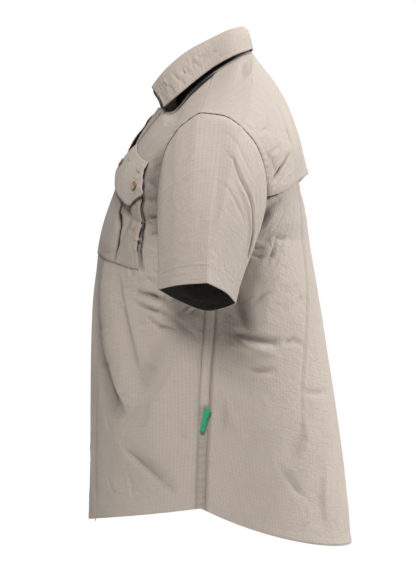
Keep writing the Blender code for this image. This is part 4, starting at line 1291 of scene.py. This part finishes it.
def fell_seam(side):
    face, _, across_front, _ = front_faces[side]
    rows = int(np.searchsorted(front_at, ARMPIT - 0.3))
    face, measure = face[:rows], across_front[:rows]
    sign = 1.0 if side == "left" else -1.0
    back_side = back_face if side == "left" else back_face * MIRROR
    keep = (sign * back_measure[0]) >= 0
    columns = np.where(keep[0])[0]
    at = np.interp(front_at[:rows], back_at, np.arange(len(back_at)))
    low = np.minimum(at.astype(int), len(back_at) - 2)
    part = (at - low)[:, None]
    back_across = sign * back_measure[0][:, columns]
    back_across = back_across[low] * (1 - part) + back_across[low + 1] * part
    back_points = back_side[:, columns]
    back_points = back_points[low] * (1 - part[:, :, None]) + back_points[low + 1] * part[:, :, None]
    ends_front = measure.max(axis=1)
    ends_back = back_across.max(axis=1)
    line = []
    for share in np.linspace(FELL, 0.0006, SEAM_COLUMNS // 2):
        line.append(column_at(face, measure, ends_front - share))
    for share in np.linspace(0.0006, FELL, SEAM_COLUMNS // 2):
        line.append(column_at(back_points, back_across, ends_back - share))
    grid = np.stack(line, axis=1)
    z = grid[:, :, 2]
    rounded = np.sin(np.linspace(0.0, math.pi, SEAM_COLUMNS)) ** 0.35
    felled = smooth_step(z, TAB_HEIGHT - 0.004, TAB_HEIGHT + 0.004)
    puckers = 0.5 + 0.5 * np.sin(z * 2 * math.pi / 0.0085 + np.sin(z * 190.0) * 1.4)
    lift = felled * 0.0013 + (1 - felled) * (0.0002 + 0.0011 * puckers)
    away = normals_of(grid)
    # Painted shade: below the tab the band is darkened, most in the troughs of its puckers.
    painted_shade = (1 - felled) * (0.20 + 0.14 * (1 - puckers)) * np.ones(SEAM_COLUMNS)[None, :]
    return grid + away * (lift * rounded[None, :] + 0.0001)[:, :, None], away, painted_shade


for side in ("left", "right"):
    strip, away, painted_shade = fell_seam(side)
    seam_faces[side] = (strip, away)
    seam_across = np.broadcast_to(np.linspace(0, 2 * FELL, SEAM_COLUMNS)[None, :], strip.shape[:2])
    cut_panel(f"cloth_side_seam_{side}", strip, flat_measure(seam_across, metres_up(strip)),
              thick=0.0009, painted_shade=painted_shade, side=side)

# %% [markdown]
# ## Sleeves
#
# A set-in sleeve, pressed flat to a crease along its outer side, with a turn-up at the
# hem. It is a tube, so the first and last columns of its grid are the same line and
# are joined. Its top edge goes in under the armhole's edge, as a seam does.

# %% Set the sleeves in
SLEEVE_GIRTH = 0.44
SLEEVE_LENGTH = 0.25
SLEEVE_TURN = 0.028
SLEEVE_COLUMNS = 208
SLEEVE_ROWS = 118
SLEEVE_CREASES = {
    "left": (
        (0.0007, 0.0026, ((0.106, 0.078), (0.136, 0.098), (0.168, 0.108), (0.216, 0.104))),
        (0.0007, 0.0026, ((0.160, 0.104), (0.186, 0.086), (0.212, 0.060))),
        (0.0005, 0.0024, ((0.100, 0.107), (0.136, 0.118), (0.170, 0.122))),
        (-0.0034, 0.0040, ((0.230, 0.074), (0.262, 0.098), (0.292, 0.108), (0.316, 0.128), (0.328, 0.165))),
        (0.0016, 0.0050, ((0.256, 0.106), (0.286, 0.118), (0.308, 0.138), (0.319, 0.172))),
        (-0.0010, 0.0030, ((0.227, 0.122), (0.256, 0.128), (0.284, 0.140))),
        (-0.0008, 0.0028, ((0.232, 0.050), (0.258, 0.068), (0.276, 0.080))),
        (-0.0050, 0.014, ((0.390, 0.050), (0.420, 0.090), (0.436, 0.150))),
        (-0.0050, 0.014, ((0.020, 0.050), (0.050, 0.100), (0.080, 0.150))),
        (-0.0030, 0.008, ((0.340, 0.080), (0.370, 0.110), (0.400, 0.160))),
    ),
    "right": (
        (-0.0016, 0.005, ((0.110, 0.110), (0.140, 0.112), (0.170, 0.118), (0.212, 0.112))),
        (-0.0014, 0.005, ((0.150, 0.120), (0.178, 0.092), (0.206, 0.070))),
        (-0.0048, 0.010, ((0.238, 0.055), (0.268, 0.095), (0.300, 0.140))),
        (0.0034, 0.012, ((0.232, 0.080), (0.264, 0.128), (0.296, 0.168))),
        (-0.0026, 0.008, ((0.226, 0.110), (0.256, 0.118), (0.292, 0.130))),
        (-0.0050, 0.014, ((0.392, 0.055), (0.416, 0.095), (0.434, 0.155))),
        (-0.0050, 0.014, ((0.024, 0.050), (0.054, 0.105), (0.078, 0.155))),
    ),
}
sleeve_faces = {}


def lay_sleeve(side):
    hem_at = np.linspace(0.0, 8.0, SLEEVE_COLUMNS + 1)
    stations = np.interp(hem_at, np.arange(9), SLEEVE_MATCH)
    start = read_line(ARMHOLE, stations, closed=True, corners=(0,))
    end = read_line(SLEEVE_HEM, hem_at, closed=True, corners=(2, 4, 6))
    leave = read_line(SLEEVE_LEAVE, hem_at / 2, closed=True, even=True)
    fall = read_line(SLEEVE_FALL, hem_at / 2, closed=True, even=True)
    lapped = smooth_step(-start[:, 2], 0.130, 0.190)
    outward = unit(start * np.array([1.0, 2.0, 0.0]))
    start = start - unit(leave) * 0.0015 + outward * (0.0034 * lapped - 0.0006 * (1 - lapped))[:, None]
    t = np.linspace(1.0, 0.0, SLEEVE_ROWS)[:, None, None]
    grid = bend(start, leave, end, fall, t)
    across = np.broadcast_to(hem_at / 8 * SLEEVE_GIRTH, grid.shape[:2])
    down = np.broadcast_to(t[:, :, 0] * SLEEVE_LENGTH, grid.shape[:2])
    away = unit(np.cross(np.gradient(grid, axis=1), np.gradient(grid, axis=0)))
    away[:, 0] = away[:, -1] = unit(away[:, 0] + away[:, -1])
    moved = press(across, down, SLEEVE_CREASES[side])
    seed = 91 if side == "left" else 92
    for shift in (-SLEEVE_GIRTH, 0.0, SLEEVE_GIRTH):
        moved += strew(across + shift, down, seed, 46, (0.0, 0.02), (SLEEVE_GIRTH, 0.21), 70, 40,
                       (0.014, 0.040), (0.0030, 0.0065), (-0.0008, 0.0005))
        moved += strew(across + shift, down, seed + 5, 26, (0.0, 0.004), (SLEEVE_GIRTH, 0.02), 90, 14,
                       (0.012, 0.026), (0.0030, 0.0060), (-0.0012, 0.0002))
    moved *= smooth_step(down, 0.0, 0.012) * (1 - 0.8 * smooth_step(down, 0.205, 0.222))
    # Painted shade: the deeper troughs, and a thin line along the edge of the turn-up, are darkened.
    painted_shade = trough_shade(moved)
    from_line = np.abs(down - (SLEEVE_LENGTH - SLEEVE_TURN))
    painted_shade = np.maximum(painted_shade, 0.26 * (1 - smooth_step(from_line, 0.0004, 0.0022)))
    flattened = (1 - smooth_step(down, 0.12, 0.23)) * smooth_step(down, 0.0, 0.03)
    from_crest = np.abs(across - 0.22 - 0.034 * (1 - down / SLEEVE_LENGTH))
    moved = moved + 0.0100 * np.exp(-from_crest / 0.036) * flattened
    turn_at = SLEEVE_LENGTH - SLEEVE_TURN
    turn_up = smooth_step(down, turn_at - 0.0005, turn_at + 0.0007)
    tuck = 0.0012 * (1 - smooth_step(down, 0.0, 0.004))
    face = grid + away * (moved + 0.0007 * turn_up + CLOTH / 2 - tuck)[:, :, None]
    return face, away, across, SLEEVE_LENGTH - down, painted_shade


for side in ("left", "right"):
    face, away, across, up, painted_shade = lay_sleeve(side)
    sleeve_faces[side] = (face, away)
    cut_panel(f"cloth_sleeve_{side}", face, flat_measure(across, up), ring=True,
              stands_for=(f"sleeve_{side}",), painted_shade=painted_shade, side=side)

# %% [markdown]
# ## Collar
#
# The stand is a short upright band on the neck seam. The leaf is sewn to its top,
# turns over and falls outwards to a point at each side of the front. Two layers with
# an interlining make it firm, but washing has left short slanting puckers in its front
# half and fine bands along its edge at the back.

# %% Turn the collar
STAND_INSET = 0.0032
STAND_DROP = 0.0010
LEAF_RISE = 0.0019
LEAF_CREASES = (
    (-0.0010, 0.0026, ((0.030, 0.012), (0.024, 0.026), (0.018, 0.040))),
    (-0.0012, 0.0024, ((0.050, 0.010), (0.043, 0.024), (0.040, 0.044))),
    (-0.0010, 0.0024, ((0.066, 0.008), (0.060, 0.020), (0.050, 0.036))),
    (-0.0012, 0.0026, ((0.084, 0.006), (0.078, 0.022), (0.068, 0.038))),
    (-0.0009, 0.0024, ((0.100, 0.010), (0.094, 0.022), (0.088, 0.030))),
    (0.0010, 0.0030, ((0.020, 0.020), (0.026, 0.034), (0.024, 0.046))),
)


def round_the_neck(half):
    return np.concatenate([half, (half * MIRROR)[:, ::-1][:, 1:]], axis=1)


neck_at = np.linspace(0.0, CENTRE_BACK, 120)
neck, top, edge = (neck_line(neck_at, column) for column in range(3))
out = unit(np.cross(np.gradient(neck, axis=0), (0.0, 0.0, 1.0)))
low = neck - out * STAND_INSET - np.array([0.0, 0.0, STAND_DROP])
stand = round_the_neck(low + (top - low) * np.linspace(0, 1, 16)[:, None, None])
stand_along = along_line(stand[8])
stand_away = normals_of(stand)
stand_up = metres_up(stand)
stand = stand + stand_away * 0.0006
# Painted shade: the stand, seen under the leaf, is darkened almost to black, less near its front ends.
from_ends = np.minimum(stand_along, stand_along[-1] - stand_along)
stand_shade = np.broadcast_to(0.45 + 0.5 * smooth_step(from_ends, 0.022, 0.050), stand.shape[:2])
stand_across = np.broadcast_to(stand_along, stand.shape[:2])
cut_panel("cloth_collar_stand", stand, flat_measure(stand_across, stand_up),
          thick=0.0012, stands_for=("collar_stand",), painted_shade=stand_shade)

out = unit(np.cross(np.gradient(top, axis=0), (0.0, 0.0, 1.0)))
start = top + np.array([0.0, 0.0, LEAF_RISE]) - out * CLOTH / 2
chord = edge - start
size = np.linalg.norm(chord, axis=1, keepdims=True)
go = out * size * 0.75
stop = chord * 1.1 + np.array([0.0, 0.0, -0.35]) * size
leaf_half = bend(start, go, edge, stop, np.linspace(1, 0, 44)[:, None, None])
leaf = round_the_neck(leaf_half)
leaf_along = along_line(leaf[8])
leaf_across = np.broadcast_to(leaf_along, leaf.shape[:2])
leaf_up = metres_up(leaf)
leaf_away = normals_of(leaf)
total = leaf_along[-1]
moved = press(leaf_across, leaf_up, LEAF_CREASES)
moved += press(total - leaf_across - 0.004, leaf_up, LEAF_CREASES) * 0.85
for near, far, seed in ((0.008, 0.115, 61), (total - 0.115, total - 0.008, 62)):
    moved += strew(leaf_across, leaf_up, seed, 70, (near, 0.004), (far, 0.046), 96 if near < 0.1 else 84,
                   13, (0.012, 0.030), (0.0013, 0.0022), (-0.0013, 0.0004))
moved += strew(leaf_across, leaf_up, 63, 30, (0.1, 0.004), (total - 0.1, 0.046), 8, 10,
               (0.010, 0.030), (0.0014, 0.0024), (-0.0004, 0.0002))
moved += 0.00012 * np.sin(leaf_up * 2 * math.pi / 0.0055) * smooth_step(leaf_across, 0.14, 0.17) \
    * (1 - smooth_step(leaf_across, total - 0.17, total - 0.14))
moved *= smooth_step(leaf_up, 0.0, 0.006) * (1 - smooth_step(leaf_up, 0.036, 0.050))
ends = np.minimum(leaf_across, total - leaf_across)
margin = np.minimum(leaf_up, ends)
moved += 0.0006 * smooth_step(margin, 0.0, 0.0035) - 0.0003 * np.exp(-((margin - 0.0055) / 0.0012) ** 2)
leaf_face = leaf + leaf_away * (moved + CLOTH / 2)[:, :, None]
# Painted shade: the leaf is darkened in its deeper puckers.
cut_panel("cloth_collar_leaf", leaf_face, flat_measure(leaf_across, leaf_up),
          thick=0.0016, stands_for=("collar_leaf",), painted_shade=trough_shade(moved * 1.7))

# %% [markdown]
# ## Buttons
#
# A button is turned: its profile is spun round the axis, then moved to its place with
# that axis along the cloth's outward direction. Four small discs stand for its holes and
# are painted dark as the shade in them, and two bars of thread cross them.

# %% Turn a button
BUTTON_PROFILE = ((0.0, 0.0), (0.0052, 0.0), (0.0060, 0.0005), (0.0062, 0.0011), (0.0060, 0.0018),
                  (0.0054, 0.0022), (0.0047, 0.0020), (0.0040, 0.0014), (0.0020, 0.0013), (0.0, 0.0013))
BUTTON_LIFT = 0.0009


def turn_button(name, place, facing, node):
    lathe = bmesh.new()
    measure = lathe.loops.layers.uv.new("flat")
    points = [lathe.verts.new((radius, 0.0, height)) for radius, height in BUTTON_PROFILE]
    edges = [lathe.edges.new(pair) for pair in zip(points[:-1], points[1:])]
    bmesh.ops.spin(lathe, geom=points + edges, cent=(0, 0, 0), axis=(0, 0, 1), dvec=(0, 0, 0),
                   angle=2 * math.pi, steps=40, use_merge=True)
    bmesh.ops.remove_doubles(lathe, verts=lathe.verts, dist=1e-6)
    for face in lathe.faces:
        face.smooth = True
        for loop in face.loops:
            loop[measure].uv = (loop.vert.co.x, loop.vert.co.y)
    for k in range(4):
        turn = math.radians(45 + 90 * k)
        spot = Matrix.Translation((0.0017 * math.cos(turn), 0.0017 * math.sin(turn), 0.00135))
        pit = bmesh.ops.create_cone(lathe, cap_ends=True, segments=12, radius1=0.0006,
                                    radius2=0.0006, depth=0.0002, matrix=spot)
        # The hole discs get a place past the rim in the flat measure, so the finish paints them dark, as
        # the shade in the holes.
        for face in {f for v in pit["verts"] for f in v.link_faces}:
            for loop in face.loops:
                loop[measure].uv = (0.006, 0.0)
    for shift in (-0.0012, 0.0012):
        bar = Matrix.Translation((0.0, shift, 0.0015)) @ Matrix.Diagonal((0.0015, 0.00028, 0.0003, 1.0))
        bmesh.ops.create_icosphere(lathe, subdivisions=2, radius=1.0, matrix=bar)
    away = Vector(facing).normalized()
    side = away.cross(Vector((0.0, 0.0, 1.0))).normalized()
    turned = Matrix((side, away.cross(side), away)).transposed().to_4x4()
    bmesh.ops.transform(lathe, matrix=Matrix.Translation(Vector(place) + away * BUTTON_LIFT) @ turned,
                        verts=lathe.verts)
    bmesh.ops.recalc_face_normals(lathe, faces=lathe.faces)
    piece = new_object(name, lathe, button_finish)
    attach(piece, "root")
    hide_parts(node)
    made_pieces[name] = piece


BUTTON_HEIGHTS = (-0.128, -0.215, -0.302, -0.389, -0.476, -0.563)
band, band_away, _ = on_front(
    "left", placket_at, lambda length: np.array([0.006, PLACKET_WIDTH / 2, 0.026]))
order = np.argsort(band[:, 1, 2])
for number, height in enumerate(BUTTON_HEIGHTS, 1):
    place = read_table(height, band[order, 1, 2], band[order, 1])
    facing = read_table(height, band[order, 1, 2], band_away[order, 1])
    place = place + unit(facing) * (PLACKET_THICK + 0.0001)
    turn_button(f"placket_button_{number}", place, facing, f"front_button_{number}")
for side in ("left", "right"):
    grid, away = flap_faces[side]
    steps, columns = grid.shape[:2]
    for name, (place_across, down) in FLAP_BUTTONS.items():
        c = round((place_across + 1) / 2 * (columns - 1))
        r = round((1 - down) * (steps - 1))
        place, facing = grid[r, c], normals_of(grid)[r, c]
        if side == "right":
            place, facing = place * MIRROR, facing * MIRROR
        turn_button(f"flap_{side}_{name}_button", place - facing * 0.0006, facing,
                    f"flap_{side}_button_{name}")
print("buttons:", sum("button" in name for name in made_pieces))

# %% [markdown]
# ## Side tab
#
# A folded length of green tape is caught in the left side seam. It hangs a little
# askew, narrower at its lower end, and its face is bare.

# %% Hang the tab
TAB_TOP = -0.4795
TAB_LONG = 0.034
seam_strip, seam_away = seam_faces["left"]


def lay_tab():
    rows, columns = 14, 9
    line, facing = seam_strip[:, 6], seam_away[:, 6]
    order = np.argsort(line[:, 2])
    grid = np.zeros((rows, columns, 3))
    flat = np.zeros((rows, columns, 2))
    for r, share in enumerate(np.linspace(1.0, 0.0, rows)):
        height = TAB_TOP - TAB_LONG * share
        at = read_table(height, line[order, 2], line[order])
        out = unit(read_table(height, line[order, 2], facing[order]))
        left = -0.0008 - 0.0048 * share
        right = 0.0092 - 0.0092 * share
        for c, part in enumerate(np.linspace(0.0, 1.0, columns)):
            y = left + (right - left) * part
            lift = (0.0022 + 0.0016 * math.sin(part * math.pi) + 0.0020 * share
                    + 0.0012 * math.sin(share * 6.0 + part * 2))
            grid[r, c] = at + np.array([0.0, y, 0.0]) + out * lift
            grid[r, c, 2] -= 0.0010 * part * (1 - share)
            flat[r, c] = (y, -height)
    return grid, flat


tab, tab_flat = lay_tab()
cut_panel("side_tab", tab, tab_flat, thick=0.0010, stands_for=("side_label",),
          finish=tape_finish)

# %% [markdown]
# ## Sewing
#
# Most edges are stitched with a row of small stitches, about three millimetres apart.
# One stitch is a tiny stretched ball, laid along its row and sunk halfway into the
# cloth. A row is any line of points on a face with the outward direction beside it.

# %% Sew the rows
STITCH_EVERY = 0.0032
STITCH_LONG = 0.0011
STITCH_THICK = 0.00024
HEM_STITCH = 0.0012
SEAM_STITCH = 0.0065


def sew(needle, points, away, flip=1.0):
    points, away = points * flip, away * flip
    along = along_line(points)
    for distance in np.arange(STITCH_EVERY / 2, along[-1], STITCH_EVERY):
        place = Vector(read_table(distance, along, points))
        ahead = Vector(read_table(distance + 0.0005, along, points))
        out = Vector(read_table(distance, along, away)).normalized()
        way = ahead - place
        if way.length < 1e-6:
            continue
        way.normalize()
        side = out.cross(way).normalized()
        frame_of = Matrix((way, side, out)).transposed().to_4x4()
        size = Matrix.Diagonal((STITCH_LONG, STITCH_THICK, STITCH_THICK, 1.0))
        bmesh.ops.create_icosphere(needle, subdivisions=1, radius=1.0,
                                   matrix=Matrix.Translation(place + out * 0.00005) @ frame_of @ size)


def row_at(face, away, measure, distance):
    """The line on a face where its measure up has one value, column by column."""
    points, out = np.zeros((face.shape[1], 3)), np.zeros((face.shape[1], 3))
    for c in range(face.shape[1]):
        points[c] = read_table(distance, measure[:, c], face[:, c])
        out[c] = read_table(distance, measure[:, c], away[:, c])
    return points, out


def line_at(face, away, measure, distance):
    """The line on a face at one distance across, row by row."""
    at = np.broadcast_to(distance, len(face))
    return column_at(face, measure, at), column_at(away, measure, at)


def finish_sewing(needle, name):
    for face in needle.faces:
        face.smooth = True
    piece = new_object(name, needle, thread_finish)
    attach(piece, "root")
    made_pieces[name] = piece
    print(name, len(piece.data.polygons), "faces")


for side in ("left", "right"):
    needle = bmesh.new()
    face, away, across, up = front_faces[side]
    upper = front_at >= ARMPIT + 0.2
    lower = front_at <= ARMPIT - 0.3
    lengths = across.max(axis=1)
    rows = (
        row_at(face, away, up, HEM_TURN - HEM_STITCH),
        line_at(face[upper], away[upper], across[upper], lengths[upper] - SEAM_STITCH),
        line_at(face[lower], away[lower], across[lower], lengths[lower] - FELL - HEM_STITCH),
    )
    for points, out in rows:
        sew(needle, points, out, SIDE_FLIP[side])
    finish_sewing(needle, f"sewing_front_{side}")

# %% Sew the yoke, the back and the collar
needle = bmesh.new()
middle = yoke_face.shape[1] // 2
for part in (slice(0, middle), slice(middle, 2 * middle)):
    face, out = yoke_face[:, part], yoke_away[:, part]
    for distance in (0.0016, 0.0066):
        sew(needle, *row_at(face, out, yoke_up[:, part], distance))
    shoulder = yoke_up[:, part].max(axis=0) - 0.0016
    rows = [row_at(face[:, c:c + 1], out[:, c:c + 1], yoke_up[:, part][:, c:c + 1], shoulder[c])
            for c in range(face.shape[1])]
    sew(needle, np.concatenate([r[0] for r in rows]), np.concatenate([r[1] for r in rows]))
    from_centre = np.abs(yoke_across[:, part])
    sew(needle, *line_at(face, out, from_centre, from_centre.max(axis=1) - SEAM_STITCH))
finish_sewing(needle, "sewing_yoke")

needle = bmesh.new()
sew(needle, *row_at(back_face, back_measure[2], back_measure[1], HEM_TURN - HEM_STITCH))
finish_sewing(needle, "sewing_back")

needle = bmesh.new()
LEAF_STITCH = 0.0055
sew(needle, *row_at(leaf_face, leaf_away, leaf_up, LEAF_STITCH))
inside = slice(5, 40)
for distance in (LEAF_STITCH, total - LEAF_STITCH):
    sew(needle, *line_at(leaf_face[inside], leaf_away[inside], leaf_across[inside], distance))
finish_sewing(needle, "sewing_collar")

# %% Sew the placket, the pockets, the flaps and the sleeves
needle = bmesh.new()
for distance in (0.0022, PLACKET_WIDTH - 0.0022):
    line, out = line_at(strip_band, strip_away, strip_across, distance)
    sew(needle, line[1:-1], out[1:-1])
finish_sewing(needle, "sewing_placket")

for side in ("left", "right"):
    flip = SIDE_FLIP[side]
    needle = bmesh.new()
    points, out = pocket_faces[side]
    for row in (2, 5):
        sew(needle, points[row, 1:-1], out[row, 1:-1], flip)
    for column in (1, -2):
        sew(needle, points[2:, column], out[2:, column], flip)
    grid, out = flap_faces[side]
    for row in (1, -3):
        sew(needle, grid[row, 1:-1], out[row, 1:-1], flip)
    for column in (1, -2):
        sew(needle, grid[1:-2, column], out[1:-2, column], flip)
    finish_sewing(needle, f"sewing_pocket_{side}")

    needle = bmesh.new()
    face, out = sleeve_faces[side]
    row = int(round(SLEEVE_TURN / SLEEVE_LENGTH * (SLEEVE_ROWS - 1))) - 1
    sew(needle, face[row], out[row], flip)
    finish_sewing(needle, f"sewing_sleeve_{side}")

# %% [markdown]
# ## The cut of each sheet
#
# Each cloth piece's flat measure is read back from its UV map. A sleeve's flat
# measure is its named girth and length, and isn't measured on its form.

for name, piece in list(made_pieces.items()):
    if not name.startswith(("cloth_", "side_tab")):
        continue
    measure = piece.data.uv_layers["flat"].data
    numbers = np.empty(len(measure) * 2, np.float32)
    measure.foreach_get("uv", numbers)
    numbers = numbers.reshape(-1, 2)

triangles = 0
for piece in made_pieces.values():
    evaluated = piece.evaluated_get(bpy.context.evaluated_depsgraph_get())
    triangles += len(evaluated.to_mesh().loop_triangles)
    evaluated.to_mesh_clear()
print("triangles in all:", triangles)
